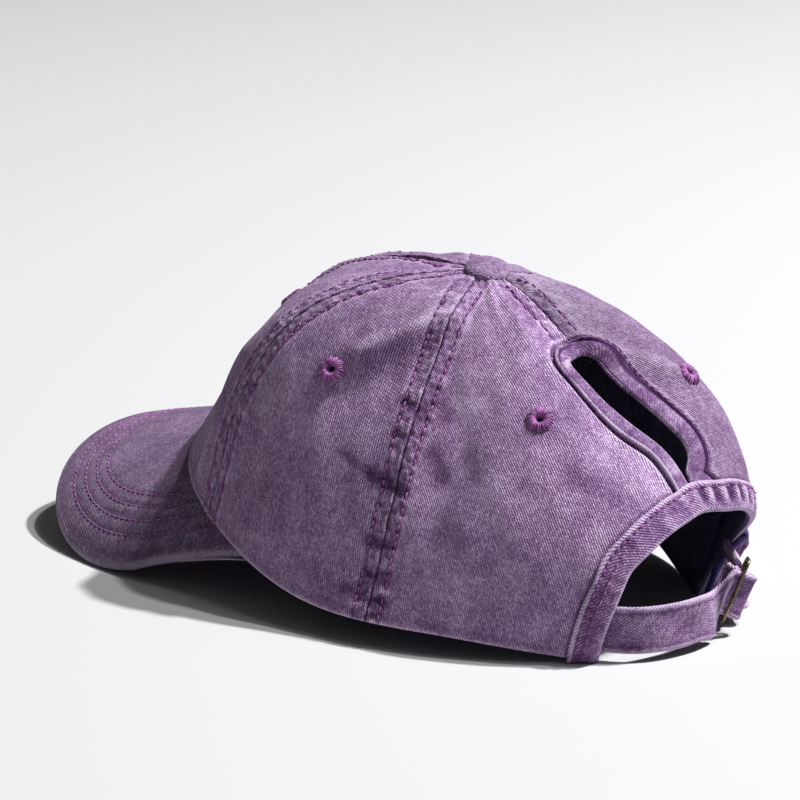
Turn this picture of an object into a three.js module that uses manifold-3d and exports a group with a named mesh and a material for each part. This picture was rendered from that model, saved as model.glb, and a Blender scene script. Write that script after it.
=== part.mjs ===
// A washed cotton cap of six panels with an arched back opening, a ponytail slot above it and a
// cloth strap fastened in a metal slide buckle. It lies on its rim and its brim, back towards +Y.
// Millimetres. +X is the wearer's left, -Y the front with the brim, +Z up, the surface at z = 0.
import * as THREE from 'three';
import { mergeVertices } from 'three/addons/utils/BufferGeometryUtils.js';
import Module from 'manifold-3d';

const wasm = await Module();
wasm.setup();

// Driving dimensions
const RIM = { halfWidth: 78.3, halfLength: 105.3 };
const TOP = { y: 10.8, z: 107.6, hump: 1 };
const CLOTH = { wall: 1.2, gap: 0.3, tape: 0.8 };
const SEAM_TURNS = [0, 60, 104.6, 180, 255.4, 300, 360];
const PANEL_NAMES = ['front_left', 'side_left', 'back_left', 'back_right', 'side_right', 'front_right'];
const CROWN = { plainRows: 15, plainColumns: 8, backColumns: 12, upperRows: 7, evenTo: 0.63, topRing: 4.3 };
const BRIM = {
  halfWidth: 78.2, reach: 162, squareness: 0.85, shoulder: 80.2,
  slope: 0.246, archHalf: 80, archRise: 47.9, frontHeight: 42.4, board: 3.2, inset: 3.2, sewnTurn: 73,
  edgeShare: 0.6, clearance: 0.5, columns: 28,
};
const TAPE = { width: 7.5, gap: 0.5, insideShare: 0.65, slant: 0.4 };
const SWEATBAND = {
  wall: 0.9, gap: 0.8, low: 0.03, high: 0.165, fromTurn: 225, toTurn: 505, rows: 4, columns: 44,
};
const BUTTON = {
  radius: 7.6, height: 3.9, edge: 1.3, stem: 2.4, stemDrop: 3.2, seat: 0.8, sides: 20, domeRows: 5,
};
const EYELET = {
  hole: 1.1, barrel: 2, ring: 1.5, seat: 0.5, panelHole: 2.4, cutter: 7.2, sides: 12,
};
const STRAP = {
  wall: 1.2, low: 2.4, high: 17.8, inBuckleLow: -8.6, inBuckleHigh: 6.8, rows: 2, pleatRows: 9,
};
const BUCKLE = {
  height: 22.6, bar: 1.5, depth: 1.5, nearBar: -4.6, farBar: 5.6,
  rounding: 1.4, holeRounding: 0.47, curveSteps: 4,
};

// How far along the brim, from the crown to its edge, each row of its faces lies.
const BRIM_ROWS = [0, 0.1, 0.25, 0.45, 0.65, 0.82, 0.94, 1];

// The rolled ring of an eyelet from its outside in: radius, and height as a share of the ring.
const EYELET_RING = [
  { radius: 4.1, height: 0 },
  { radius: 3.9, height: 0.6 },
  { radius: 3, height: 1 },
  { radius: 1.9, height: 0.8 },
];

// Meridians of the crown, one every 30 degrees from the front round over the wearer's left.
// rim is the height of the edge, rise and lean the upward and outward pull just above it,
// reach the width of the shoulder, and tuck how far the edge is pushed in from the oval.
const MERIDIANS = [
  { turn: 0, rim: 42.4, rise: 62.8, lean: -0.305, reach: 0.574, tuck: 1 },
  { turn: 30, rim: 36.5, rise: 60.2, lean: -0.313, reach: 0.597, tuck: 1 },
  { turn: 60, rim: 25.2, rise: 68.3, lean: -0.155, reach: 0.651, tuck: 1 },
  { turn: 90, rim: 10.1, rise: 48.7, lean: -0.215, reach: 0.441, tuck: 1 },
  { turn: 120, rim: 6.6, rise: 44.6, lean: -0.123, reach: 0.271, tuck: 1 },
  { turn: 150, rim: 0.3, rise: 58.7, lean: 0.19, reach: 0.161, tuck: 1 },
  { turn: 180, rim: 0, rise: 53.1, lean: 0.354, reach: -0.046, tuck: 1.017 },
  { turn: 210, rim: 0.5, rise: 69.2, lean: 0.498, reach: 0.388, tuck: 0.845 },
  { turn: 240, rim: 0.4, rise: 57.7, lean: 0.211, reach: 0.497, tuck: 0.862 },
  { turn: 270, rim: 11, rise: 57.4, lean: -0.034, reach: 0.572, tuck: 1 },
  { turn: 300, rim: 24.3, rise: 62.8, lean: -0.159, reach: 0.627, tuck: 1 },
  { turn: 330, rim: 36.8, rise: 65.5, lean: -0.261, reach: 0.617, tuck: 1 },
];

// Folds and dents of the soft cloth: a line from one place to another, pushed out (+) or in (-).
const FOLDS = [
  { name: 'side ridge', turn: 81.5, climb: 0.517, toTurn: 105.2, toClimb: 0.723, out: 1.7, width: 7 },
  { name: 'hollow under it', turn: 84, climb: 0.47, toTurn: 103, toClimb: 0.62, out: -1.8, width: 10 },
  { name: 'dent past the seam', turn: 117.8, climb: 0.49, toTurn: 118, toClimb: 0.46, out: -1.8, width: 10 },
  { name: 'lower dent', turn: 117.5, climb: 0.36, toTurn: 116, toClimb: 0.33, out: -1.4, width: 9 },
  { name: 'seam pucker', turn: 103, climb: 0.3, toTurn: 103.3, toClimb: 0.1, out: -0.9, width: 6 },
  { name: 'front fold', turn: 52, climb: 0.06, toTurn: 50, toClimb: 0.3, out: 1.6, width: 8 },
  { name: 'fold past the slot', turn: 191, climb: 0.6, toTurn: 203, toClimb: 0.51, out: 1.3, width: 5 },
  { name: 'right back hollow', turn: 232, climb: 0.3, toTurn: 240, toClimb: 0.16, out: -2.2, width: 13 },
  { name: 'right side hollow', turn: 285, climb: 0.45, toTurn: 275, toClimb: 0.3, out: -2, width: 14 },
];

// Cut edges of the two back panels at a climb: the arch first, then the slot, in degrees of turn.
const BACK_EDGES = [
  { climb: 0, left: 150.2, right: 217.4 },
  { climb: 0.035, left: 150.6, right: 217.8 },
  { climb: 0.07, left: 151.5, right: 216.8 },
  { climb: 0.113, left: 153.2, right: 212.5 },
  { climb: 0.145, left: 154.8, right: 208 },
  { climb: 0.175, left: 156.6, right: 203.5 },
  { climb: 0.205, left: 160, right: 199.5 },
  { climb: 0.235, left: 164.6, right: 194.5 },
  { climb: 0.258, left: 169.5, right: 188.5 },
  { climb: 0.273, left: 175, right: 184 },
  { climb: 0.28, left: 180, right: 180 },
  { climb: 0.33, left: 179.6, right: 180.8 },
  { climb: 0.343, left: 179.5, right: 182.6 },
  { climb: 0.365, left: 179.4, right: 185.6 },
  { climb: 0.4, left: 178.4, right: 187.6 },
  { climb: 0.44, left: 174.6, right: 186.6 },
  { climb: 0.48, left: 171.6, right: 184.8 },
  { climb: 0.52, left: 169.6, right: 182.8 },
  { climb: 0.555, left: 167.8, right: 182.4 },
  { climb: 0.583, left: 166.8, right: 183.4 },
  { climb: 0.594, left: 168.4, right: 183 },
  { climb: 0.601, left: 172.2, right: 182 },
  { climb: 0.605, left: 180, right: 180 },
];

const ARCH_TOP = 0.28;
const SLOT_FOOT = 0.343;

// The eyelets, one a panel in the order of the panels.
const EYELET_PLACES = [
  { turn: 31, climb: 0.463 },
  { turn: 77.8, climb: 0.463 },
  { turn: 144, climb: 0.463 },
  { turn: 207, climb: 0.487 },
  { turn: 282.2, climb: 0.463 },
  { turn: 329, climb: 0.463 },
];

// Small steps of turn, climb and share over which a face's slope is measured, the sweeps that
// settle a ring's slopes, and the halvings that find a climb.
const SLOPE_STEP = { turn: 0.1, climb: 0.002, brim: 0.002 };
const RING_SWEEPS = 40;
const CLIMB_HALVINGS = 24;
const MERGE_DISTANCE = 1e-4;
const UP = new THREE.Vector3(0, 0, 1);

// The buckle's middle, and its directions: along its bars, along the strap and out of the cloth.
const BUCKLE_MIDDLE = new THREE.Vector3(-14.6, 105.2, 14.3);
const BUCKLE_UP = new THREE.Vector3(-0.368, 0.199, 0.908).normalize();
const BUCKLE_ALONG = new THREE.Vector3(-0.743, -0.641, -0.161).normalize();
const BUCKLE_OUT = new THREE.Vector3().crossVectors(BUCKLE_ALONG, BUCKLE_UP).normalize();

// The long arm of the strap in plan, from inside the left foot of the arch to the buckle, and
// then its way through the buckle: under the near bar, over the middle bar and back inside.
const LONG_ARM = [
  { x: 45.4, y: 79.8 }, { x: 42, y: 83.2 }, { x: 37.6, y: 87.8 }, { x: 33.8, y: 95.2 },
  { x: 28.8, y: 101.6 }, { x: 21.4, y: 105.6 }, { x: 12.5, y: 107.6 }, { x: 3.5, y: 107.8 },
  { x: -3, y: 106.2 },
];
const LONG_WEAVE = [
  { along: -7.2, out: -3.3 }, { along: -4.6, out: -2.5 }, { along: -3, out: -1.3 },
  { along: -1.9, out: 0.6 }, { along: -0.9, out: 1.9 }, { along: 0.4, out: 2.2 },
  { along: 1.6, out: 1.4 }, { along: 2.1, out: -0.6 }, { along: 2.8, out: -2.6 },
  { along: 4.4, out: -3.8 }, { along: 8.5, out: -4.1 },
];

// The short arm: a hook round the far bar, then a tab to the right leg of the arch, whose edges
// run from low to high and whose pleats have the share of their full depth in the last column.
const SHORT_HOOK = [
  { along: 10, out: -1.2 }, { along: 7.6, out: -1.75 }, { along: 5.6, out: -1.8 },
  { along: 4.4, out: -1.3 }, { along: 3.8, out: 0 }, { along: 4.4, out: 1.3 },
  { along: 5.6, out: 1.8 }, { along: 7.6, out: 1.6 },
];
const SHORT_TAB = [
  { x: -22.4, y: 100.2, low: 5.4, high: 22.6, pleated: 0.4 },
  { x: -26.5, y: 95.6, low: 6, high: 25, pleated: 1 },
  { x: -31, y: 88.6, low: 6, high: 26, pleated: 1 },
  { x: -35.6, y: 79.2, low: 5, high: 22, pleated: 1 },
];
const PLEAT = { ribs: 3, depth: 0.55 };

const FINISHES = {
  cloth: { color: 0x80608c, roughness: 0.95, metalness: 0 },
  thread: { color: 0x8a3f8f, roughness: 0.7, metalness: 0 },
  inside: { color: 0x2b2450, roughness: 0.95, metalness: 0 },
  brass: { color: 0x8a7a4c, roughness: 0.45, metalness: 0.9 },
};

// A smooth closed curve through one column of the meridian table, with slopes that make the
// bends meet, found by a few sweeps round the ring.
function ringCurve(key) {
  const values = MERIDIANS.map((row) => row[key]);
  const count = values.length;
  let slopes = values.map(() => 0);
  const at = (list, i) => list[(i + count) % count];
  for (let sweep = 0; sweep < RING_SWEEPS; sweep++) {
    slopes = slopes.map((_, i) =>
      (3 * (at(values, i + 1) - at(values, i - 1)) - at(slopes, i - 1) - at(slopes, i + 1)) / 4);
  }
  return (turn) => {
    const place = (((turn % 360) + 360) % 360) / (360 / count);
    const i = Math.floor(place);
    const u = place - i;
    const rise = at(values, i + 1) - values[i];
    const [start, end] = [slopes[i], at(slopes, i + 1)];
    return values[i] + u * (start + u * (3 * rise - 2 * start - end + u * (start + end - 2 * rise)));
  };
}

const meridian = Object.fromEntries(
  ['rim', 'rise', 'lean', 'reach', 'tuck'].map((key) => [key, ringCurve(key)]));

// Height of the brim's top face: an arch across, sloping down to the front.
function brimTop(x, y) {
  const bend = (BRIM.archHalf ** 2 + BRIM.archRise ** 2) / (2 * BRIM.archRise);
  const drop = bend - Math.sqrt(bend * bend - x * x);
  return BRIM.frontHeight + BRIM.slope * (y + RIM.halfLength) - drop;
}

// The crown before folds: each meridian is a cubic arch from the rim up to the button.
function smoothCrown(turn, climb) {
  const angle = THREE.MathUtils.degToRad(turn);
  const down = 1 - climb;
  const [b0, b1, b2, b3] = [down ** 3, 3 * climb * down * down, 3 * climb * climb * down, climb ** 3];
  const rim = meridian.rim(turn);
  const tuck = meridian.tuck(turn);
  const span = b0 * tuck + b1 * (tuck + meridian.lean(turn)) + b2 * meridian.reach(turn);
  return new THREE.Vector3(
    RIM.halfWidth * Math.sin(angle) * span,
    TOP.y + (-RIM.halfLength * Math.cos(angle) - TOP.y) * span,
    b0 * rim + b1 * (rim + meridian.rise(turn)) + b2 * (TOP.z + TOP.hump) + b3 * TOP.z);
}

// How the smooth crown changes with turn and with climb, and the direction out of it.
function crownSlopes(turn, climb) {
  const base = THREE.MathUtils.clamp(climb, 0, 1 - 2 * SLOPE_STEP.climb);
  const alongTurn = smoothCrown(turn + SLOPE_STEP.turn, base)
    .sub(smoothCrown(turn - SLOPE_STEP.turn, base))
    .divideScalar(2 * SLOPE_STEP.turn);
  const alongClimb = smoothCrown(turn, base + SLOPE_STEP.climb)
    .sub(smoothCrown(turn, base))
    .divideScalar(SLOPE_STEP.climb);
  const out = new THREE.Vector3().crossVectors(alongTurn, alongClimb).normalize();
  return { alongTurn, alongClimb, out };
}

const foldLines = FOLDS.map((fold) => ({
  line: new THREE.Line3(smoothCrown(fold.turn, fold.climb), smoothCrown(fold.toTurn, fold.toClimb)),
  out: fold.out,
  width: fold.width,
}));

function foldDepth(point) {
  const nearest = new THREE.Vector3();
  return foldLines.reduce((sum, fold) => {
    fold.line.closestPointToPoint(point, true, nearest);
    return sum + fold.out * Math.exp(-((nearest.distanceTo(point) / fold.width) ** 2));
  }, 0);
}

// A point of the folded crown, lifted off its outer face along the smooth crown's normal.
function crownPoint(turn, climb, lift = 0) {
  const point = smoothCrown(turn, climb);
  const depth = foldDepth(point);
  return point.addScaledVector(crownSlopes(turn, climb).out, depth + lift);
}

// A geometry from points and triangles, turned so that its faces point outwards.
function closedGeometry(points, triangles) {
  const volume = triangles.reduce((sum, [a, b, c]) =>
    sum + points[a].dot(new THREE.Vector3().crossVectors(points[b], points[c])), 0);
  const outward = volume > 0 ? triangles : triangles.map(([a, b, c]) => [a, c, b]);
  const geometry = new THREE.BufferGeometry();
  geometry.setAttribute('position', new THREE.Float32BufferAttribute(points.flatMap((p) => p.toArray()), 3));
  geometry.setIndex(outward.flat());
  geometry.computeVertexNormals();
  return geometry;
}

// A wall between two grids of points, closed round its four edges.
function wallGeometry(outer, inner) {
  const rows = outer.length;
  const columns = outer[0].length;
  const points = [...outer.flat(), ...inner.flat()];
  const far = columns - 1;
  const front = (i, j) => i * columns + j;
  const behind = (i, j) => rows * columns + front(i, j);
  const triangles = [];
  const quad = (a, b, c, d) => triangles.push([a, b, c], [a, c, d]);
  for (let i = 0; i < rows - 1; i++) {
    for (let j = 0; j < columns - 1; j++) {
      quad(front(i, j), front(i, j + 1), front(i + 1, j + 1), front(i + 1, j));
      quad(behind(i, j), behind(i + 1, j), behind(i + 1, j + 1), behind(i, j + 1));
    }
  }
  for (let j = 0; j < columns - 1; j++) {
    quad(front(0, j), behind(0, j), behind(0, j + 1), front(0, j + 1));
    quad(front(rows - 1, j + 1), behind(rows - 1, j + 1), behind(rows - 1, j), front(rows - 1, j));
  }
  for (let i = 0; i < rows - 1; i++) {
    quad(front(i + 1, 0), behind(i + 1, 0), behind(i, 0), front(i, 0));
    quad(front(i, far), behind(i, far), behind(i + 1, far), front(i + 1, far));
  }
  return closedGeometry(points, triangles);
}

// A body swept through equal rings of points, closed by a cap at each end.
function sweptGeometry(rings, profile) {
  const size = profile.length;
  const points = rings.flat();
  const triangles = [];
  for (let i = 0; i < rings.length - 1; i++) {
    for (let k = 0; k < size; k++) {
      const next = (k + 1) % size;
      const [a, b, c, d] = [i * size + k, i * size + next, (i + 1) * size + next, (i + 1) * size + k];
      triangles.push([a, b, c], [a, c, d]);
    }
  }
  const last = (rings.length - 1) * size;
  for (const [a, b, c] of THREE.ShapeUtils.triangulateShape(profile, [])) {
    triangles.push([a, c, b], [last + a, last + b, last + c]);
  }
  return closedGeometry(points, triangles);
}

// Linear reading of a column in a table whose rows rise by key.
function readTable(table, key, column, value) {
  const above = table.findIndex((row) => row[key] >= value);
  const i = above < 0 ? table.length - 1 : Math.max(above, 1);
  const share = (value - table[i - 1][key]) / (table[i][key] - table[i - 1][key]);
  return THREE.MathUtils.lerp(table[i - 1][column], table[i][column], THREE.MathUtils.clamp(share, 0, 1));
}

// The climb at which a meridian comes within a given distance of the button's middle.
function climbNearTop(turn, distance) {
  let [low, high] = [CROWN.evenTo, 1];
  for (let step = 0; step < CLIMB_HALVINGS; step++) {
    const middle = (low + high) / 2;
    const point = smoothCrown(turn, middle);
    if (Math.hypot(point.x, point.y - TOP.y) > distance) low = middle;
    else high = middle;
  }
  return low;
}

// Rows of a plain panel, and of a back panel: the rows of its cut edge, then even steps to the top.
const evenSteps = (from, to, count) => Array.from({ length: count }, (_, i) =>
  THREE.MathUtils.lerp(from, to, i / (count - 1)));
const PLAIN_SHARES = evenSteps(0, 1, CROWN.plainRows + 1);
const BACK_SHARES = [
  ...BACK_EDGES.map((row) => row.climb),
  ...evenSteps(CROWN.evenTo, 1, CROWN.upperRows),
];

function rowClimb(share, turn) {
  if (share <= CROWN.evenTo) return share;
  const upper = (share - CROWN.evenTo) / (1 - CROWN.evenTo);
  return THREE.MathUtils.lerp(CROWN.evenTo, climbNearTop(turn, CROWN.topRing), upper);
}

// A turn moved by a distance along the crown.
function turnAfter(turn, climb, distance) {
  return turn + distance / crownSlopes(turn, climb).alongTurn.length();
}

// Where a panel begins and ends at a climb, half a gap short of its seams.
function panelEdges(index, share) {
  const edges = [SEAM_TURNS[index], SEAM_TURNS[index + 1]];
  if (PANEL_NAMES[index] === 'back_left') edges[1] = readTable(BACK_EDGES, 'climb', 'left', share);
  if (PANEL_NAMES[index] === 'back_right') edges[0] = readTable(BACK_EDGES, 'climb', 'right', share);
  const half = CLOTH.gap / 2;
  return [
    turnAfter(edges[0], rowClimb(share, edges[0]), half),
    turnAfter(edges[1], rowClimb(share, edges[1]), -half),
  ];
}

function panelGeometry(index) {
  const back = PANEL_NAMES[index].startsWith('back');
  const columns = back ? CROWN.backColumns : CROWN.plainColumns;
  const grid = (lift) => (back ? BACK_SHARES : PLAIN_SHARES).map((share) => {
    const [from, to] = panelEdges(index, share);
    return evenSteps(from, to, columns + 1).map((turn) => crownPoint(turn, rowClimb(share, turn), lift));
  });
  const [outer, inner] = [grid(0), grid(-CLOTH.wall)];
  inner[0].forEach((point, j) => point.setZ(outer[0][j].z));
  return wallGeometry(outer, inner);
}

// The brim's top face: from just inside the crown's front edge out to the brim's own outline. It
// meets the crown's edge all along and bends down to both sides.
function brimFace(across, forward) {
  const angle = (across * Math.PI) / 2;
  const soften = (value) => Math.sign(value) * Math.abs(value) ** BRIM.squareness;
  const sewn = Math.asin(Math.sin(THREE.MathUtils.degToRad(BRIM.sewnTurn)) * soften(Math.sin(angle)));
  const inset = 1 - BRIM.inset / RIM.halfLength;
  const root = new THREE.Vector2(RIM.halfWidth * Math.sin(sewn), -RIM.halfLength * Math.cos(sewn));
  const edge = new THREE.Vector2(
    BRIM.halfWidth * soften(Math.sin(angle)),
    -BRIM.shoulder - (BRIM.reach - BRIM.shoulder) * soften(Math.cos(angle)));
  const start = root.clone().multiplyScalar(inset);
  const place = start.clone().lerp(edge, forward);
  const rim = meridian.rim(THREE.MathUtils.radToDeg(sewn)) - BRIM.clearance;
  const fit = (rim - brimTop(start.x, start.y)) * (1 - forward) ** 2;
  return new THREE.Vector3(place.x, place.y, brimTop(place.x, place.y) + fit);
}

function brimGeometry() {
  const step = SLOPE_STEP.brim;
  const face = (across, forward) => {
    const here = brimFace(across, forward);
    const [a, b] = [Math.min(across + step, 1), Math.min(forward + step, 1)];
    const alongAcross = brimFace(a, forward).sub(brimFace(a - 2 * step, forward));
    const alongForward = brimFace(across, b).sub(brimFace(across, b - 2 * step));
    const up = alongAcross.cross(alongForward).normalize();
    return { here, up: up.z < 0 ? up.negate() : up };
  };
  const grid = (depth) => BRIM_ROWS.map((forward) =>
    Array.from({ length: BRIM.columns + 1 }, (_, j) => {
      const { here, up } = face((2 * j) / BRIM.columns - 1, forward);
      const rounded = forward === 1 ? THREE.MathUtils.lerp(BRIM.board / 2, depth, BRIM.edgeShare) : depth;
      return here.addScaledVector(up, -rounded);
    }));
  return wallGeometry(grid(0), grid(BRIM.board));
}

function sweatbandGeometry() {
  const { fromTurn, toTurn, low, high, rows, columns, wall } = SWEATBAND;
  const grid = (lift) => Array.from({ length: rows + 1 }, (_, i) =>
    Array.from({ length: columns + 1 }, (_, j) => {
      const turn = THREE.MathUtils.lerp(fromTurn, toTurn, j / columns);
      return crownPoint(turn, THREE.MathUtils.lerp(low, high, i / rows), lift);
    }));
  const outer = -(CLOTH.wall + SWEATBAND.gap);
  return wallGeometry(grid(outer), grid(outer - wall));
}

// A place on the crown a distance away from another, in a direction that lies in the cloth.
function placeBeside(place, direction, distance) {
  const { alongTurn, alongClimb } = crownSlopes(place.turn, place.climb);
  const [aa, ab, bb] = [alongTurn.dot(alongTurn), alongTurn.dot(alongClimb), alongClimb.dot(alongClimb)];
  const [ra, rb] = [alongTurn.dot(direction) * distance, alongClimb.dot(direction) * distance];
  const scale = aa * bb - ab * ab;
  return {
    turn: place.turn + (ra * bb - rb * ab) / scale,
    climb: Math.max(place.climb + (rb * aa - ra * ab) / scale, 0),
  };
}

// Binding tape folded over a cut edge. inward is the distance from the edge into the panel, and
// lift the height above its outer face; the tape wraps the wall with a small gap all round.
function tapeProfile(width) {
  const over = TAPE.gap;
  const under = -CLOTH.wall - TAPE.gap;
  const fold = -TAPE.gap - CLOTH.tape;
  return [
    [width, over], [width - TAPE.slant, over + CLOTH.tape], [0, over + CLOTH.tape], [fold, over],
    [fold, under], [0, under - CLOTH.tape], [width * TAPE.insideShare, under - CLOTH.tape],
    [width * TAPE.insideShare, under], [-TAPE.gap, under], [-TAPE.gap, over],
  ].map(([inward, lift]) => new THREE.Vector2(inward, lift));
}

function bindingGeometry(edge) {
  const profile = tapeProfile(TAPE.width);
  const points = edge.map((place) => smoothCrown(place.turn, place.climb));
  const rings = edge.map((place, i) => {
    const [before, after] = [Math.max(i - 1, 0), Math.min(i + 1, points.length - 1)];
    const along = points[after].clone().sub(points[before]).normalize();
    const intoPanel = crownSlopes(place.turn, place.climb).out.cross(along).normalize();
    return profile.map(({ x, y }) => {
      const beside = placeBeside(place, intoPanel, x);
      const point = crownPoint(beside.turn, beside.climb, y);
      return place.climb > 0 ? point : point.setZ(points[i].z);
    });
  });
  return sweptGeometry(rings, profile);
}

// The edge of the arch from the left foot over its top to the right foot, and of the slot from
// its left foot up, over and down again.
function edgePlaces(low, high) {
  const rows = BACK_EDGES.filter((row) => row.climb >= low && row.climb <= high);
  const left = rows.map((row) => ({ turn: row.left, climb: row.climb }));
  const right = rows.map((row) => ({ turn: row.right, climb: row.climb })).reverse();
  return [...left, ...right.filter((place) => place.turn !== left.at(-1).turn)];
}

// A strap arm: a band of cloth through sections that each hold a low and a high point.
function bandGeometry(sections, pleat) {
  const middles = sections.map(({ low, high }) => low.clone().lerp(high, 0.5));
  const rows = pleat ? STRAP.pleatRows : STRAP.rows;
  const grid = (side) => Array.from({ length: rows + 1 }, (_, i) =>
    sections.map(({ low, high, pleated = 0 }, j) => {
      const along = middles[Math.min(j + 1, middles.length - 1)].clone().sub(middles[Math.max(j - 1, 0)]);
      const out = along.cross(high.clone().sub(low)).normalize();
      const share = i / rows;
      const wave = pleated * PLEAT.depth * Math.cos(2 * Math.PI * PLEAT.ribs * share);
      return low.clone().lerp(high, share).addScaledVector(out, (side * STRAP.wall) / 2 + wave);
    }));
  return wallGeometry(grid(1), grid(-1));
}

// A point in the buckle's own directions.
function buckleFrame(along, out, up) {
  return BUCKLE_MIDDLE.clone().addScaledVector(BUCKLE_ALONG, along)
    .addScaledVector(BUCKLE_OUT, out).addScaledVector(BUCKLE_UP, up);
}

const bucklePath = (rows) => rows.map(({ along, out }) => ({
  low: buckleFrame(along, out, STRAP.inBuckleLow),
  high: buckleFrame(along, out, STRAP.inBuckleHigh),
}));

function longArmGeometry() {
  const plan = LONG_ARM.map(({ x, y }) => ({
    low: new THREE.Vector3(x, y, STRAP.low), high: new THREE.Vector3(x, y, STRAP.high),
  }));
  return bandGeometry([...plan, ...bucklePath(LONG_WEAVE)], false);
}

function shortArmGeometry() {
  const tab = SHORT_TAB.map(({ x, y, low, high, pleated }) => ({
    low: new THREE.Vector3(x, y, low), high: new THREE.Vector3(x, y, high), pleated,
  }));
  return bandGeometry([...bucklePath(SHORT_HOOK), ...tab], true);
}

function roundedRectangle(path, left, bottom, right, top, radius) {
  path.moveTo(left + radius, bottom);
  path.lineTo(right - radius, bottom);
  path.quadraticCurveTo(right, bottom, right, bottom + radius);
  path.lineTo(right, top - radius);
  path.quadraticCurveTo(right, top, right - radius, top);
  path.lineTo(left + radius, top);
  path.quadraticCurveTo(left, top, left, top - radius);
  path.lineTo(left, bottom + radius);
  path.quadraticCurveTo(left, bottom, left + radius, bottom);
  return path;
}

// The slide buckle: a rounded frame with a middle bar, cut from one plate.
function buckleGeometry() {
  const { height, bar, depth, nearBar, farBar, rounding, holeRounding, curveSteps } = BUCKLE;
  const half = bar / 2;
  const frame = roundedRectangle(
    new THREE.Shape(), nearBar - half, -height / 2, farBar + half, height / 2, rounding);
  for (const [from, to] of [[nearBar, 0], [0, farBar]]) {
    frame.holes.push(roundedRectangle(
      new THREE.Path(), from + half, -height / 2 + bar, to - half, height / 2 - bar, holeRounding));
  }
  const plate = new THREE.ExtrudeGeometry(
    frame, { depth, bevelEnabled: false, curveSegments: curveSteps });
  plate.translate(0, 0, -depth / 2);
  const turned = new THREE.Matrix4()
    .makeBasis(BUCKLE_ALONG, BUCKLE_UP, BUCKLE_OUT)
    .setPosition(BUCKLE_MIDDLE);
  return plate.applyMatrix4(turned);
}

// A round body about +Z from rows of radius and height.
function turnedProfile(points, sides) {
  const lathe = new THREE.LatheGeometry(points.map(([r, h]) => new THREE.Vector2(r, h)), sides);
  return lathe.rotateX(Math.PI / 2);
}

function buttonGeometry() {
  const { radius, height, edge, stem, stemDrop, sides, domeRows } = BUTTON;
  const dome = Array.from({ length: domeRows }, (_, i) => {
    const angle = (i / domeRows) * (Math.PI / 2);
    return [radius * Math.cos(angle), edge + (height - edge) * Math.sin(angle)];
  });
  return turnedProfile(
    [[0, -stemDrop], [stem, -stemDrop], [stem, 0], [radius - edge / 2, 0], ...dome, [0, height]], sides);
}

function eyeletGeometry() {
  const { hole, ring, barrel, seat, sides } = EYELET;
  const [over, under] = [seat, -CLOTH.wall - seat];
  const rolled = EYELET_RING.map((row) => [row.radius, over + row.height * ring]);
  return turnedProfile(
    [[hole, under], [barrel, under], [barrel, over], ...rolled, [hole, over], [hole, under]], sides);
}

// A closed mesh as a solid that can be cut, and back again.
function toSolid(geometry) {
  const bare = geometry.clone();
  bare.deleteAttribute('normal');
  bare.deleteAttribute('uv');
  const merged = mergeVertices(bare, MERGE_DISTANCE);
  return new wasm.Manifold(new wasm.Mesh({
    numProp: 3,
    vertProperties: new Float32Array(merged.attributes.position.array),
    triVerts: new Uint32Array(merged.index.array),
  }));
}

function toGeometry(solid) {
  const { vertProperties, triVerts } = solid.getMesh();
  const geometry = new THREE.BufferGeometry();
  geometry.setAttribute('position', new THREE.BufferAttribute(new Float32Array(vertProperties), 3));
  geometry.setIndex(new THREE.BufferAttribute(new Uint32Array(triVerts), 1));
  geometry.computeVertexNormals();
  return geometry;
}

// Position and rotation of a small round piece that stands on the crown.
function standOnCrown(object, place) {
  object.position.copy(crownPoint(place.turn, place.climb));
  object.quaternion.setFromUnitVectors(UP, crownSlopes(place.turn, place.climb).out);
  object.updateMatrix();
  return object;
}

function withEyeletHole(geometry, place) {
  const cutter = new THREE.CylinderGeometry(
    EYELET.panelHole, EYELET.panelHole, EYELET.cutter, EYELET.sides).rotateX(Math.PI / 2);
  const placed = standOnCrown(new THREE.Object3D(), place);
  return toGeometry(toSolid(geometry).subtract(toSolid(cutter.applyMatrix4(placed.matrix))));
}

const material = Object.fromEntries(Object.entries(FINISHES).map(([name, finish]) =>
  [name, new THREE.MeshStandardMaterial(finish)]));

const cap = new THREE.Group();

function addPiece(name, geometry, surface) {
  const mesh = new THREE.Mesh(geometry, surface);
  mesh.name = name;
  cap.add(mesh);
  return mesh;
}

PANEL_NAMES.forEach((name, index) => {
  const place = EYELET_PLACES[index];
  addPiece(`${name}_panel`, withEyeletHole(panelGeometry(index), place), material.cloth);
  standOnCrown(addPiece(`${name}_eyelet`, eyeletGeometry(), material.thread), place);
});
addPiece('brim', brimGeometry(), material.cloth);
addPiece('sweatband', sweatbandGeometry(), material.inside);
addPiece('arch_binding', bindingGeometry(edgePlaces(0, ARCH_TOP)), material.cloth);
addPiece('slot_binding', bindingGeometry(edgePlaces(SLOT_FOOT, 1)), material.cloth);
addPiece('strap_long_arm', longArmGeometry(), material.cloth);
addPiece('strap_short_arm', shortArmGeometry(), material.cloth);
addPiece('strap_buckle', buckleGeometry(), material.brass);
addPiece('top_button', buttonGeometry(), material.cloth).position.set(0, TOP.y, TOP.z + BUTTON.seat);

// The origin is under the middle of the whole cap, on the surface that it lies on.
cap.updateMatrixWorld(true);
const box = new THREE.Box3().setFromObject(cap, true);
const middle = box.getCenter(new THREE.Vector3());
cap.position.set(-middle.x, -middle.y, -box.min.z);

export default cap;
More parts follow.
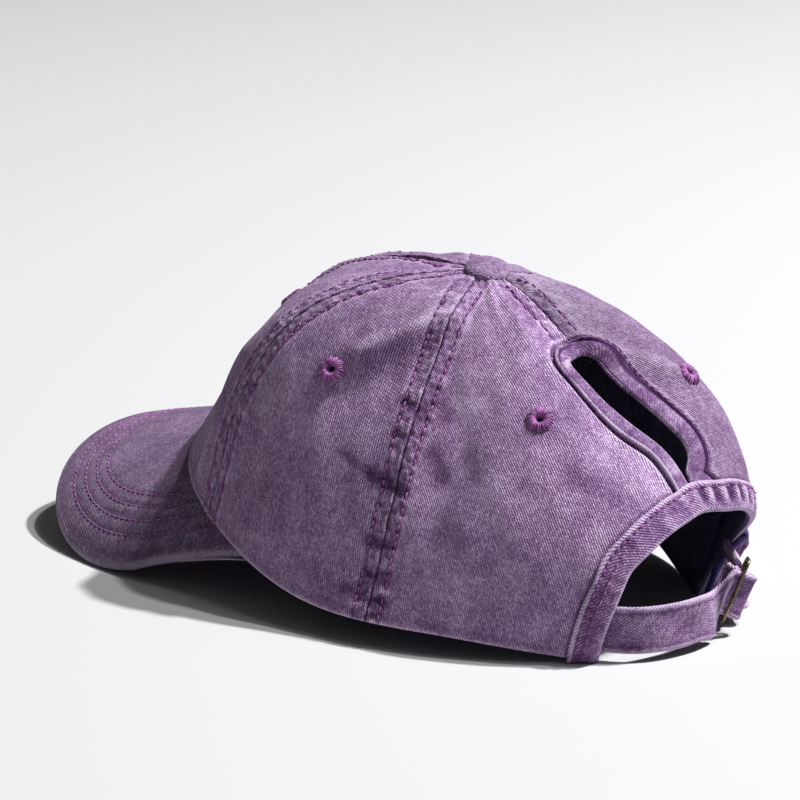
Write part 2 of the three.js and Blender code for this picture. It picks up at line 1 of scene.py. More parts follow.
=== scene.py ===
import bpy
import numpy as np
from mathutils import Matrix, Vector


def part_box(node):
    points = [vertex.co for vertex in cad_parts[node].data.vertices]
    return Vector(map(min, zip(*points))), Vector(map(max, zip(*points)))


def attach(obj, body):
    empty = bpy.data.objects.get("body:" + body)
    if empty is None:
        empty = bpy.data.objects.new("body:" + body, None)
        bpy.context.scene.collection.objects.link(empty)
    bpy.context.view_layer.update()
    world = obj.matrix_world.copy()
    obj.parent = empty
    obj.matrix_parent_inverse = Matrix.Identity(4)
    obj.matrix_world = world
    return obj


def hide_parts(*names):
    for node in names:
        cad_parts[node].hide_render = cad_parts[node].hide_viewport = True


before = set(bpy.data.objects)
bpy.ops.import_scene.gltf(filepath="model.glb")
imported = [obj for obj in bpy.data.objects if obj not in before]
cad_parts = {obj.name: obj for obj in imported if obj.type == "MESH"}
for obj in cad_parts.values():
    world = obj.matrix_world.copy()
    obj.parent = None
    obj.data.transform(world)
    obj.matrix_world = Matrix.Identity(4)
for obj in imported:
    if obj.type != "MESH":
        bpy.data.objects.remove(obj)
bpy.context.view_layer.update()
mm = 0.001
print("frame loaded")

# The crown: turn is in degrees from the front round over the wearer's left, climb runs from 0 at the rim to 1
# at the button, and every 30 degrees of turn has its own meridian
crownShape = {
    "halfWidth": 78.3, "halfLength": 105.3, "topY": 10.8, "topZ": 107.6, "hump": 1.0,
    "topRing": 4.3, "evenTo": 0.63, "wall": 1.2,
    "fullerSpan": 0.06, "fullerTurn": 183, "fullerTurnWidth": 17,
    "fullerClimb": 0.8, "fullerClimbWidth": 0.12,
    "seamTurns": (0, 60, 104.6, 180, 255.4, 300, 360),
    "panelNames": ("front_left", "side_left", "back_left", "back_right", "side_right", "front_right"),
}
meridians = {
    "rim": (42.4, 36.5, 25.2, 10.1, 6.6, 0.3, 0, 0.5, 0.4, 11, 24.3, 36.8),
    "rise": (62.8, 60.2, 68.3, 48.7, 44.6, 58.7, 53.1, 69.2, 57.7, 57.4, 62.8, 65.5),
    "lean": (-0.305, -0.313, -0.155, -0.215, -0.123, 0.19, 0.354, 0.498, 0.211, -0.034, -0.159, -0.261),
    "reach": (0.574, 0.597, 0.651, 0.441, 0.271, 0.161, -0.046, 0.388, 0.497, 0.572, 0.627, 0.617),
    "tuck": (1, 1, 1, 1, 1, 1, 1.017, 0.845, 0.862, 1, 1, 1),
}
# Folds and dents: a line from one place to another, pushed out or in, with a width in millimetres
folds = [
    {"from": (81.5, 0.517), "to": (105.2, 0.723), "out": 1.7, "width": 7},
    {"from": (84, 0.47), "to": (103, 0.62), "out": -1.8, "width": 10},
    {"from": (117.8, 0.49), "to": (118, 0.46), "out": -1.8, "width": 10},
    {"from": (117.5, 0.36), "to": (116, 0.33), "out": -1.4, "width": 9},
    {"from": (103, 0.3), "to": (103.3, 0.1), "out": -0.9, "width": 6},
    {"from": (52, 0.06), "to": (50, 0.3), "out": 1.6, "width": 8},
    {"from": (191, 0.6), "to": (203, 0.51), "out": 1.3, "width": 5},
    {"from": (232, 0.3), "to": (240, 0.16), "out": -2.2, "width": 13},
    {"from": (285, 0.45), "to": (275, 0.3), "out": -2, "width": 14},
]
# Slack of the soft cloth: waves of some height, with so many radians per degree of turn and per unit of climb
slackWaves = [
    {"height": 0.42, "perTurn": 0.09, "perClimb": 7.0, "start": 0.4},
    {"height": 0.30, "perTurn": -0.17, "perClimb": 11.0, "start": 2.1},
    {"height": 0.20, "perTurn": 0.31, "perClimb": -15.0, "start": 4.0},
    {"height": 0.13, "perTurn": 0.52, "perClimb": 24.0, "start": 1.3},
]
slackReach = (0.0, 0.12, 0.8, 0.97)  # climbs at which the slack begins, is full, begins to fade and is gone
# Cut edges of the back panels, in degrees of turn at each climb: the arch up to its top, then the slot from
# its foot
backEdges = {
    "climb": (0, 0.035, 0.07, 0.113, 0.145, 0.175, 0.205, 0.235, 0.258, 0.273, 0.28, 0.33,
              0.343, 0.365, 0.4, 0.44, 0.48, 0.52, 0.555, 0.583, 0.594, 0.601, 0.605),
    "left": (150.2, 150.6, 151.5, 153.2, 154.8, 156.6, 160, 164.6, 169.5, 175, 180, 179.6,
             179.5, 179.4, 178.4, 174.6, 171.6, 169.6, 167.8, 166.8, 168.4, 172.2, 180),
    "right": (217.4, 217.8, 216.8, 212.5, 208, 203.5, 199.5, 194.5, 188.5, 184, 180, 180.8,
              182.6, 185.6, 187.6, 186.6, 184.8, 182.8, 182.4, 183.4, 183, 182, 180),
    "archTop": 0.28, "slotFoot": 0.343, "slotTop": 0.605,
}
eyeletPlaces = ((31, 0.463), (77.8, 0.463), (144, 0.463), (207, 0.487), (282.2, 0.463), (329, 0.463))


def periodicCurve(values):
    # cubic pieces through even stations of a ring, whose slopes solve
    # s[i-1] + 4 s[i] + s[i+1] = 3 (v[i+1] - v[i-1])
    values = np.asarray(values, float)
    count = len(values)
    ring = 4 * np.eye(count) + np.roll(np.eye(count), 1, 1) + np.roll(np.eye(count), -1, 1)
    slopes = np.linalg.solve(ring, 3 * (np.roll(values, -1) - np.roll(values, 1)))

    def at(turn):
        place = np.mod(turn, 360.0) * count / 360.0
        i = np.floor(place).astype(int) % count
        j = (i + 1) % count
        u = place - np.floor(place)
        rise = values[j] - values[i]
        bend = 3 * rise - 2 * slopes[i] - slopes[j]
        return values[i] + u * (slopes[i] + u * (bend + u * (slopes[i] + slopes[j] - 2 * rise)))
    return at


meridianAt = {name: periodicCurve(values) for name, values in meridians.items()}


def unit(vectors):
    # each vector over its own length
    return vectors / np.maximum(np.linalg.norm(vectors, axis=-1, keepdims=True), 1e-9)


def smoothStep(low, high, value):
    # 0 below low, 1 above high, and 3 s s - 2 s s s between
    share = np.clip((np.asarray(value, float) - low) / (high - low), 0, 1)
    return share * share * (3 - 2 * share)


def bump(value, middle, width):
    # a bell of height 1: exp of minus the square of the distance from the middle over the width
    return np.exp(-((np.asarray(value, float) - middle) / width) ** 2)


def bells(value, *rows):
    # the sum of bells, each given as its height, its middle and its width
    return sum(height * bump(value, middle, width) for height, middle, width in rows)


def hill(value, start, full, fading, end):
    # climbs smoothly from 0 at start to 1 at full, and goes down from fading to 0 at end
    return smoothStep(start, full, value) * (1 - smoothStep(fading, end, value))


def crownSmooth(turn, climb):
    # each meridian is a cubic arch: Bernstein weights of climb on its rim, pull, shoulder and top give a
    # span from the button's axis and a height, and the span scales the oval of the rim. The span is a
    # little fuller where the back seam nears the button
    turn, climb = np.broadcast_arrays(np.asarray(turn, float), np.asarray(climb, float))
    angle = np.radians(turn)
    down = 1 - climb
    b0, b1, b2, b3 = down ** 3, 3 * climb * down ** 2, 3 * climb ** 2 * down, climb ** 3
    rim, tuck = meridianAt["rim"](turn), meridianAt["tuck"](turn)
    span = b0 * tuck + b1 * (tuck + meridianAt["lean"](turn)) + b2 * meridianAt["reach"](turn)
    fuller = bump(turn, crownShape["fullerTurn"], crownShape["fullerTurnWidth"])
    fuller = fuller * bump(climb, crownShape["fullerClimb"], crownShape["fullerClimbWidth"])
    span = span + crownShape["fullerSpan"] * fuller
    height = b0 * rim + b1 * (rim + meridianAt["rise"](turn))
    height = height + b2 * (crownShape["topZ"] + crownShape["hump"]) + b3 * crownShape["topZ"]
    return np.stack([
        crownShape["halfWidth"] * np.sin(angle) * span,
        crownShape["topY"] + (-crownShape["halfLength"] * np.cos(angle) - crownShape["topY"]) * span,
        height], -1)


def crownSlopes(turn, climb):
    # the difference over a small step each way along turn, over a small step up along climb, and their cross
    # product, which points out of the cloth
    stepTurn, stepClimb = 0.1, 0.002
    climb = np.clip(climb, 0, 1 - 2 * stepClimb)
    alongTurn = (crownSmooth(turn + stepTurn, climb) - crownSmooth(turn - stepTurn, climb)) / (2 * stepTurn)
    alongClimb = (crownSmooth(turn, climb + stepClimb) - crownSmooth(turn, climb)) / stepClimb
    return alongTurn, alongClimb, unit(np.cross(alongTurn, alongClimb))


def segmentDistance(points, start, end):
    # distance to the nearest point of a straight segment
    along = end - start
    share = np.clip(((points - start) @ along) / (along @ along), 0, 1)
    return np.linalg.norm(points - start - share[..., None] * along, axis=-1)


def pathDistance(points, path, atOnce=2000):
    # least distance from each point to the segments of a path, taken in blocks of points
    flat = points.reshape(-1, 3)
    starts, along = path[:-1], np.diff(path, axis=0)
    square = np.maximum((along ** 2).sum(-1), 1e-9)
    found = []
    for block in np.array_split(flat, max(1, len(flat) // atOnce)):
        apart = block[:, None] - starts
        share = np.clip((apart * along).sum(-1) / square, 0, 1)
        found.append(np.linalg.norm(apart - share[..., None] * along, axis=-1).min(1))
    return np.concatenate(found).reshape(points.shape[:-1])


def crownPoint(turn, climb, lift=0.0):
    # the smooth crown, moved along its normal by the folds, by the slack of the cloth and by the lift
    turn, climb = np.broadcast_arrays(np.asarray(turn, float), np.asarray(climb, float))
    smooth = crownSmooth(turn, climb)
    out = crownSlopes(turn, climb)[2]
    depth = np.zeros(turn.shape)
    for fold in folds:
        start, end = crownSmooth(*fold["from"]), crownSmooth(*fold["to"])
        depth = depth + fold["out"] * bump(segmentDistance(smooth, start, end), 0, fold["width"])
    calm = hill(climb, *slackReach)
    for wave in slackWaves:
        phase = turn * wave["perTurn"] + climb * wave["perClimb"] + wave["start"]
        depth = depth + calm * wave["height"] * np.sin(phase)
    return smooth + out * (depth + lift)[..., None]


def placeBeside(turn, climb, direction, distance):
    # solves for the change of turn and climb whose step along the cloth is the direction times the distance
    alongTurn, alongClimb, _ = crownSlopes(turn, climb)
    aa, bb = (alongTurn ** 2).sum(-1), (alongClimb ** 2).sum(-1)
    ab = (alongTurn * alongClimb).sum(-1)
    ra = (alongTurn * direction).sum(-1) * distance
    rb = (alongClimb * direction).sum(-1) * distance
    scale = aa * bb - ab * ab
    return turn + (ra * bb - rb * ab) / scale, np.maximum(climb + (rb * aa - ra * ab) / scale, 0)


def climbNearTop(turn):
    # halves the climb between the even rows and the top, 24 times, down to where the meridian meets the ring
    # round the button
    low = np.full(np.shape(turn), crownShape["evenTo"])
    high = np.ones(np.shape(turn))
    for _ in range(24):
        middle = (low + high) / 2
        point = crownSmooth(turn, middle)
        outside = np.hypot(point[..., 0], point[..., 1] - crownShape["topY"]) > crownShape["topRing"]
        low, high = np.where(outside, middle, low), np.where(outside, high, middle)
    return low


def rowClimb(share, turn):
    # climb is the row's share up to the even part, and from there runs evenly to the ring round the button
    evenTo = crownShape["evenTo"]
    upper = np.clip((share - evenTo) / (1 - evenTo), 0, 1)
    return np.where(share <= evenTo, share, evenTo + upper * (climbNearTop(turn) - evenTo))


def runLength(points):
    # length so far along the last but one axis of a grid or path of points
    steps = np.linalg.norm(np.diff(points, axis=-2), axis=-1)
    return np.concatenate([np.zeros(steps.shape[:-1] + (1,)), np.cumsum(steps, -1)], -1)


def splineThrough(points, count=None, spots=None):
    # natural cubic spline over chord length through the points, read at even steps of its length or at given
    # shares of the chord
    points = np.asarray(points, float)
    chord = runLength(points)
    gap = np.diff(chord)
    size = len(points)
    matrix, wanted = np.eye(size), np.zeros_like(points)
    for i in range(1, size - 1):
        matrix[i, i - 1:i + 2] = gap[i - 1], 2 * (gap[i - 1] + gap[i]), gap[i]
        wanted[i] = 6 * ((points[i + 1] - points[i]) / gap[i] - (points[i] - points[i - 1]) / gap[i - 1])
    bends = np.linalg.solve(matrix, wanted)

    def read(place):
        i = np.clip(np.searchsorted(chord, place, side="right") - 1, 0, size - 2)
        h = gap[i][:, None]
        a, b = (chord[i + 1] - place)[:, None], (place - chord[i])[:, None]
        curve = (bends[i] * a ** 3 + bends[i + 1] * b ** 3) / (6 * h)
        return curve + (points[i] / h - bends[i] * h / 6) * a + (points[i + 1] / h - bends[i + 1] * h / 6) * b
    if spots is not None:
        return read(np.asarray(spots) * chord[-1])
    fine = np.linspace(0, chord[-1], 16 * size)
    length = runLength(read(fine))
    return read(np.interp(np.linspace(0, length[-1], count), length, fine))


def gridNormals(grid):
    # cross product of the central differences along rows and along columns
    down, across = np.gradient(grid, axis=0), np.gradient(grid, axis=1)
    return unit(np.cross(across, down))


def turnedGrid(radius, height, spins):
    # a profile turned round the up axis: its radius times the cosine and sine of each spin, and its height
    spin = np.linspace(0, 2 * np.pi, spins, endpoint=False)[:, None]
    wide = np.broadcast_to(radius, (spins, len(height)))
    return np.stack([wide * np.cos(spin), wide * np.sin(spin), np.broadcast_to(height, wide.shape)], -1)


def wallPart(outer, inner, uv, tone, innerSlot=0, openFaces=None, ring=None, columnSlots=None):
    # two equal grids closed round their border by a strip of quads. openFaces marks quads left out of both
    # grids, and ring lists the grid places round that hole, whose two sides are joined. columnSlots gives the
    # material of each column of quads, where they differ
    rows, columns = outer.shape[:2]
    number = np.arange(rows * columns).reshape(rows, columns)
    corners = [number[:-1, :-1], number[:-1, 1:], number[1:, 1:], number[1:, :-1]]
    quads = np.stack(corners, -1).reshape(-1, 4)
    if openFaces is not None:
        quads = quads[~openFaces.reshape(-1)]
    behind = rows * columns
    border = np.concatenate([number[0, :], number[1:, -1], number[-1, -2::-1], number[-2:0:-1, 0]])
    strip = np.stack([np.roll(border, -1), border, border + behind, np.roll(border, -1) + behind], -1)
    faces = [quads, quads[:, ::-1] + behind, strip]
    slots = [np.zeros(len(quads), int), np.full(len(quads), innerSlot), np.zeros(len(strip), int)]
    if columnSlots is not None:
        slots[0] = slots[1] = np.tile(columnSlots, rows - 1)
    if ring is not None:
        hole = number[ring[:, 0], ring[:, 1]]
        after = np.roll(hole, -1)
        faces.append(np.stack([hole, after, after + behind, hole + behind], -1))
        slots.append(np.zeros(len(hole), int))
    return {
        "points": np.concatenate([outer.reshape(-1, 3), inner.reshape(-1, 3)]),
        "faces": np.concatenate(faces), "slots": np.concatenate(slots),
        "uv": np.concatenate([uv.reshape(-1, 2)] * 2), "tone": np.concatenate([tone.reshape(-1)] * 2),
    }


def tubePart(path, radii, sides, across=None, flat=1.0, tone=0.0, slot=0, closed=False, power=1.0):
    # a ring of points carried along a path: centre + radius (cos a sideways + flat sin a outwards), squared
    # by a power under 1 on cosine and sine. Open ends are closed by fans of triangles
    path = np.asarray(path, float)
    count = len(path)
    along = unit(np.roll(path, -1, 0) - np.roll(path, 1, 0)) if closed else unit(np.gradient(path, axis=0))
    hint = np.broadcast_to(np.array([0.0, 0.0, 1.0]) if across is None else across, path.shape)
    side = unit(np.cross(along, hint))
    out = np.cross(side, along)
    angle = np.linspace(0, 2 * np.pi, sides, endpoint=False)
    wave = [np.sign(f(angle)) * np.abs(f(angle)) ** power for f in (np.cos, np.sin)]
    radii = np.broadcast_to(radii, (count,))[:, None, None]
    ring = wave[0][:, None] * side[:, None] + flat * wave[1][:, None] * out[:, None]
    points = path[:, None] + radii * ring
    number = np.arange(count * sides).reshape(count, sides)
    if closed:
        number = np.concatenate([number, number[:1]])
    around = np.roll(number, -1, 1)
    quads = np.stack([number[:-1], around[:-1], around[1:], number[1:]], -1).reshape(-1, 4)
    points, faces = points.reshape(-1, 3), [quads]
    if not closed:
        points = np.concatenate([points, path[:1], path[-1:]])
        head, tail = count * sides, count * sides + 1
        faces.append(np.stack([np.full(sides, head), around[0], number[0]], -1))
        faces.append(np.stack([np.full(sides, tail), number[-1], around[-1]], -1))
    size = len(points)
    length = runLength(path)
    uv = np.stack([np.repeat(length, sides), np.tile(angle, count)], -1)
    uv = np.concatenate([uv, np.zeros((size - len(uv), 2))])
    tone = np.concatenate([np.repeat(np.broadcast_to(tone, (count,)), sides), np.zeros(size - count * sides)])
    return {"points": points, "faces": faces, "slots": slot, "uv": uv, "tone": tone}


def repeatPart(template, faces, uv, tone):
    # many copies of one small shape: the points are (copies, n, 3) and the faces shift by n for each copy
    copies, size = template.shape[:2]
    shift = np.arange(copies)[:, None, None] * size
    return {
        "points": template.reshape(-1, 3), "slots": 0, "uv": uv.reshape(-1, 2),
        "faces": [(corners[None] + shift).reshape(-1, corners.shape[1]) for corners in faces],
        "tone": np.broadcast_to(tone, (copies, size)).reshape(-1),
    }


# The CAD's button shows where the crown's axes lie in the frame: it sits a little over the crown's top, and
# its stem goes down from there
buttonSeat = {"seat": 0.8, "stemDrop": 3.2}
buttonLow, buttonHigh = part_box("top_button")
modelToFrame = np.array([
    (buttonLow.x + buttonHigh.x) / 2 / mm,
    (buttonLow.y + buttonHigh.y) / 2 / mm - crownShape["topY"],
    buttonLow.z / mm - (crownShape["topZ"] + buttonSeat["seat"] - buttonSeat["stemDrop"])])
floorHeight = 0.05 - modelToFrame[2]  # cloth that is bent down to the floor ends this high


def inScene(name, data):
    # a new object that holds the data, linked into the scene
    thing = bpy.data.objects.new(name, data)
    bpy.context.scene.collection.objects.link(thing)
    return thing


def makePiece(name, parts, finishes, nodes=()):
    # joins the parts into one mesh, with a UV map in millimetres, a tone that carries wash marks along
    # with painted shade and painted highlights, and a material slot for each face. Each group of faces has
    # one number of corners
    points, uvs, tones, loops, sizes, slots = [], [], [], [], [], []
    base = 0
    for part in parts:
        points.append(part["points"])
        uvs.append(part["uv"])
        tones.append(part["tone"])
        groups = part["faces"] if isinstance(part["faces"], list) else [part["faces"]]
        for faces in groups:
            loops.append((faces + base).reshape(-1))
            sizes.append(np.full(len(faces), faces.shape[1]))
            if np.isscalar(part["slots"]):
                slots.append(np.full(len(faces), part["slots"]))
        if not np.isscalar(part["slots"]):
            slots.append(part["slots"])
        base += len(part["points"])
    points = (np.concatenate(points) + modelToFrame) * mm
    loops, sizes = np.concatenate(loops), np.concatenate(sizes)
    mesh = bpy.data.meshes.new(name)
    mesh.vertices.add(len(points))
    mesh.vertices.foreach_set("co", points.astype(np.float32).ravel())
    mesh.loops.add(len(loops))
    mesh.loops.foreach_set("vertex_index", loops.astype(np.int32))
    mesh.polygons.add(len(sizes))
    mesh.polygons.foreach_set("loop_start", (np.cumsum(sizes) - sizes).astype(np.int32))
    mesh.polygons.foreach_set("material_index", np.concatenate(slots).astype(np.int32))
    mesh.polygons.foreach_set("use_smooth", np.ones(len(sizes), bool))
    corners = np.concatenate(uvs)[loops].astype(np.float32)
    mesh.uv_layers.new(name="cloth").data.foreach_set("uv", corners.ravel())
    tone = mesh.attributes.new("tone", "FLOAT", "POINT")
    tone.data.foreach_set("value", np.concatenate(tones).astype(np.float32))
    mesh.update(calc_edges=True)
    mesh.validate()
    for finish in finishes:
        mesh.materials.append(finish)
    piece = inScene(name, mesh)
    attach(piece, "root")
    if nodes:
        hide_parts(*nodes)
    return piece


def declareSheet(piece, width, length, held, restsOn=()):
    # says that a piece is cloth cut to a width and length in millimetres. Its flat area is half the area of
    # its faces, as they are the two sides of one layer
    area = sum(face.area for face in piece.data.polygons) / 2
    flat = (width * mm, length * mm)
    share = round(area / (flat[0] * flat[1]), 2)
    print(piece.name, "is cut to", round(width), "by", round(length), "mm, area share", share)


# Materials. Two shared effects are node groups: the twill weave, read from the piece's UV map in
# millimetres, and the mottling of the wash, read from Object coordinates in metres, in bands of a scale,
# detail and roughness
weaveForm = {"noise": 0.45, "noiseDetail": 3.0, "lineShift": 0.37, "swell": 0.4}
washBands = (("Clouds", 38.0, 3.0, 0.55), ("Patches", 150.0, 4.0, 0.6), ("Specks", 1700.0, 3.0, 0.7))


def nodeIn(tree, kind, inputs=(), **settings):
    # adds a node and sets it; each input is a value, or a socket to link from
    node = tree.nodes.new(kind)
    for key, value in settings.items():
        setattr(node, key, value)
    for key, value in dict(inputs).items():
        if isinstance(value, bpy.types.NodeSocket):
            tree.links.new(value, node.inputs[key])
        else:
            node.inputs[key].default_value = value
    return node


def mathIn(tree, operation, first, second=0.0, third=0.0):
    # the result of a Math node on up to three values or sockets
    return nodeIn(tree, "ShaderNodeMath", {0: first, 1: second, 2: third}, operation=operation).outputs[0]


def aboveHalf(tree, value):
    # the value less a half
    return mathIn(tree, "SUBTRACT", value, 0.5)


def noiseIn(tree, place, scale, detail, roughness=0.5):
    # a noise from 0 to 1, with about so many waves as its scale in one unit of the place
    inputs = {"Vector": place, "Scale": scale, "Detail": detail, "Roughness": roughness}
    return nodeIn(tree, "ShaderNodeTexNoise", inputs).outputs[0]


def effectGroup(name, sockets):
    # an empty node group with the named sockets: its tree, what it is given and what it puts out
    tree = bpy.data.node_groups.new(name, "ShaderNodeTree")
    for label, way, kind, value in sockets:
        socket = tree.interface.new_socket(label, in_out=way, socket_type=kind)
        if value is not None:
            socket.default_value = value
    return tree, tree.nodes.new("NodeGroupInput").outputs, tree.nodes.new("NodeGroupOutput").inputs


def makeTwillGroup():
    # across the diagonal each line is a row of floats: its back is sin(pi fraction) of the distance over the
    # pitch, bent a little by noise. Along the line floats begin and end, shifted from line to line, and each
    # has its own shade, white noise of the numbers of its line and float
    tree, given, made = effectGroup("twillWeave", [
        ("Place", "INPUT", "NodeSocketVector", None), ("Pitch", "INPUT", "NodeSocketFloat", 0.8),
        ("Float", "INPUT", "NodeSocketFloat", 1.3), ("Angle", "INPUT", "NodeSocketFloat", 1.2),
        ("Waver", "INPUT", "NodeSocketFloat", 0.35), ("Lines", "OUTPUT", "NodeSocketFloat", None),
        ("Yarns", "OUTPUT", "NodeSocketFloat", None)])
    split = nodeIn(tree, "ShaderNodeSeparateXYZ", {0: given["Place"]}).outputs
    noise = noiseIn(tree, given["Place"], weaveForm["noise"], weaveForm["noiseDetail"])
    waver = mathIn(tree, "MULTIPLY", aboveHalf(tree, noise), given["Waver"])
    cosine, sine = mathIn(tree, "COSINE", given["Angle"]), mathIn(tree, "SINE", given["Angle"])
    across = mathIn(tree, "MULTIPLY_ADD", split[0], sine, waver)
    across = mathIn(tree, "SUBTRACT", across, mathIn(tree, "MULTIPLY", split[1], cosine))
    along = mathIn(tree, "MULTIPLY_ADD", split[0], cosine, mathIn(tree, "MULTIPLY", split[1], sine))
    line = mathIn(tree, "DIVIDE", across, given["Pitch"])
    lineNumber = mathIn(tree, "FLOOR", line)
    back = mathIn(tree, "SINE", mathIn(tree, "MULTIPLY", mathIn(tree, "FRACT", line), np.pi))
    floats = mathIn(tree, "DIVIDE", along, given["Float"])
    shifted = mathIn(tree, "MULTIPLY_ADD", lineNumber, weaveForm["lineShift"], floats)
    swell = mathIn(tree, "SINE", mathIn(tree, "MULTIPLY", mathIn(tree, "FRACT", shifted), np.pi))
    swell = mathIn(tree, "MULTIPLY_ADD", swell, weaveForm["swell"], 1 - weaveForm["swell"])
    cell = nodeIn(tree, "ShaderNodeCombineXYZ", {0: lineNumber, 1: mathIn(tree, "FLOOR", shifted)}).outputs[0]
    shade = nodeIn(tree, "ShaderNodeTexWhiteNoise", {"Vector": cell}, noise_dimensions="2D").outputs["Value"]
    tree.links.new(mathIn(tree, "MULTIPLY", back, swell), made["Lines"])
    tree.links.new(shade, made["Yarns"])
    return tree


def makeWashGroup():
    # mottling: clouds of some 25 mm, patches of some 6 mm and specks under 1 mm. The tone is the sum of each
    # noise less a half, times its share, and the grain is the noise of the specks
    tree, given, made = effectGroup("washMottle", [
        ("Clouds", "INPUT", "NodeSocketFloat", 0.5), ("Patches", "INPUT", "NodeSocketFloat", 0.5),
        ("Specks", "INPUT", "NodeSocketFloat", 0.5), ("Tone", "OUTPUT", "NodeSocketFloat", None),
        ("Grain", "OUTPUT", "NodeSocketFloat", None)])
    place = tree.nodes.new("ShaderNodeTexCoord").outputs["Object"]
    total = None
    for key, scale, detail, rough in washBands:
        noise = noiseIn(tree, place, scale, detail, rough)
        share = mathIn(tree, "MULTIPLY", aboveHalf(tree, noise), given[key])
        total = share if total is None else mathIn(tree, "ADD", total, share)
    tree.links.new(total, made["Tone"])
    tree.links.new(noise, made["Grain"])
    return tree


twillGroup = makeTwillGroup()
washGroup = makeWashGroup()
clothLook = {
    "dark": (0.060, 0.022, 0.078), "middle": (0.225, 0.130, 0.262), "light": (0.52, 0.41, 0.58),
    "pitch": 0.8, "float": 1.1, "waver": 0.4, "clouds": 0.55, "patches": 0.45, "specks": 1.4, "gain": 1.0,
    "lineShade": 0.5, "yarnShade": 0.24, "toneReach": 0.42, "bump": 0.9, "depth": 0.0003, "roughness": 0.92,
    "yarnHeight": 0.3, "grainHeight": 0.9, "specular": 0.15, "sheenRoughness": 0.5,
    "sheenTint": (0.9, 0.8, 0.95, 1),
}


def newFinish(name, levels):
    # a material, its node tree and its shader, with plain levels on some of the shader's sockets
    finish = bpy.data.materials.new(name)
    finish.use_nodes = True
    shader = finish.node_tree.nodes["Principled BSDF"]
    for socket, level in levels.items():
        shader.inputs[socket].default_value = level
    return finish, finish.node_tree, shader


def bumpOn(tree, shader, height, strength, distance):
    # shades the surface as if the height raised it by up to a distance in metres
    inputs = {"Height": height, "Strength": strength, "Distance": distance}
    tree.links.new(nodeIn(tree, "ShaderNodeBump", inputs).outputs[0], shader.inputs["Normal"])


def twillMaterial(name, angle, look=None, sheen=0.12):
    # the ramp from dark to light is read at a half, plus the piece's tone, which holds painted shade and
    # highlights as well as wash marks, plus the tone of the wash, plus shares of the weave's lines and yarns
    # less a half. Lines, yarns and the grain of the wash make the bumps
    look = {**clothLook, **(look or {})}
    finish, tree, shader = newFinish(name, {
        "Roughness": look["roughness"], "Specular IOR Level": look["specular"], "Sheen Weight": sheen,
        "Sheen Roughness": look["sheenRoughness"], "Sheen Tint": look["sheenTint"]})
    place = nodeIn(tree, "ShaderNodeUVMap", uv_map="cloth").outputs[0]
    weave = nodeIn(tree, "ShaderNodeGroup", {
        "Place": place, "Angle": np.radians(angle), "Pitch": look["pitch"], "Float": look["float"],
        "Waver": look["waver"]}, node_tree=twillGroup).outputs
    wash = nodeIn(tree, "ShaderNodeGroup", {
        "Clouds": look["clouds"], "Patches": look["patches"], "Specks": look["specks"]},
        node_tree=washGroup).outputs
    tone = nodeIn(tree, "ShaderNodeAttribute", attribute_name="tone").outputs["Fac"]
    value = mathIn(tree, "ADD", mathIn(tree, "MULTIPLY", tone, look["toneReach"]), wash["Tone"])
    for key, share in (("Lines", "lineShade"), ("Yarns", "yarnShade")):
        value = mathIn(tree, "MULTIPLY_ADD", aboveHalf(tree, weave[key]), look[share], value)
    ramp = nodeIn(tree, "ShaderNodeValToRGB", {"Fac": mathIn(tree, "ADD", value, 0.5)})
    ramp.color_ramp.elements.new(0.5)
    for element, key in zip(ramp.color_ramp.elements, ("dark", "middle", "light")):
        element.color = (*(np.array(look[key]) * look["gain"]), 1)
    tree.links.new(ramp.outputs[0], shader.inputs["Base Color"])
    height = mathIn(tree, "MULTIPLY_ADD", weave["Yarns"], look["yarnHeight"], weave["Lines"])
    height = mathIn(tree, "MULTIPLY_ADD", wash["Grain"], look["grainHeight"], height)
    bumpOn(tree, shader, height, look["bump"], look["depth"])
    return finish


threadLook = {
    "plies": 0.9, "distortion": 1.0, "detail": 1.0, "plyShade": 0.5, "toneShade": 0.5, "level": 0.25,
    "bump": 0.4, "depth": 0.0001, "roughness": 0.55, "sheen": 0.2,
}


def threadMaterial(name, dark, light):
    # sewing thread with a soft gloss: its colour goes from dark to light with its level, its tone and its
    # plies, a wave over its own UV map that makes the bumps too
    look = threadLook
    finish, tree, shader = newFinish(name, {"Roughness": look["roughness"], "Sheen Weight": look["sheen"]})
    place = nodeIn(tree, "ShaderNodeUVMap", uv_map="cloth").outputs[0]
    plies = nodeIn(tree, "ShaderNodeTexWave", {
        "Vector": place, "Scale": look["plies"], "Distortion": look["distortion"],
        "Detail": look["detail"]}).outputs[1]
    tone = nodeIn(tree, "ShaderNodeAttribute", attribute_name="tone").outputs["Fac"]
    shade = mathIn(tree, "MULTIPLY_ADD", tone, look["toneShade"], look["level"])
    shade = mathIn(tree, "MULTIPLY_ADD", plies, look["plyShade"], shade)
    ends = {"Factor": shade, 6: (*dark, 1), 7: (*light, 1)}
    colour = nodeIn(tree, "ShaderNodeMix", ends, data_type="RGBA")
    tree.links.new(colour.outputs[2], shader.inputs["Base Color"])
    bumpOn(tree, shader, plies, look["bump"], look["depth"])
    return finish
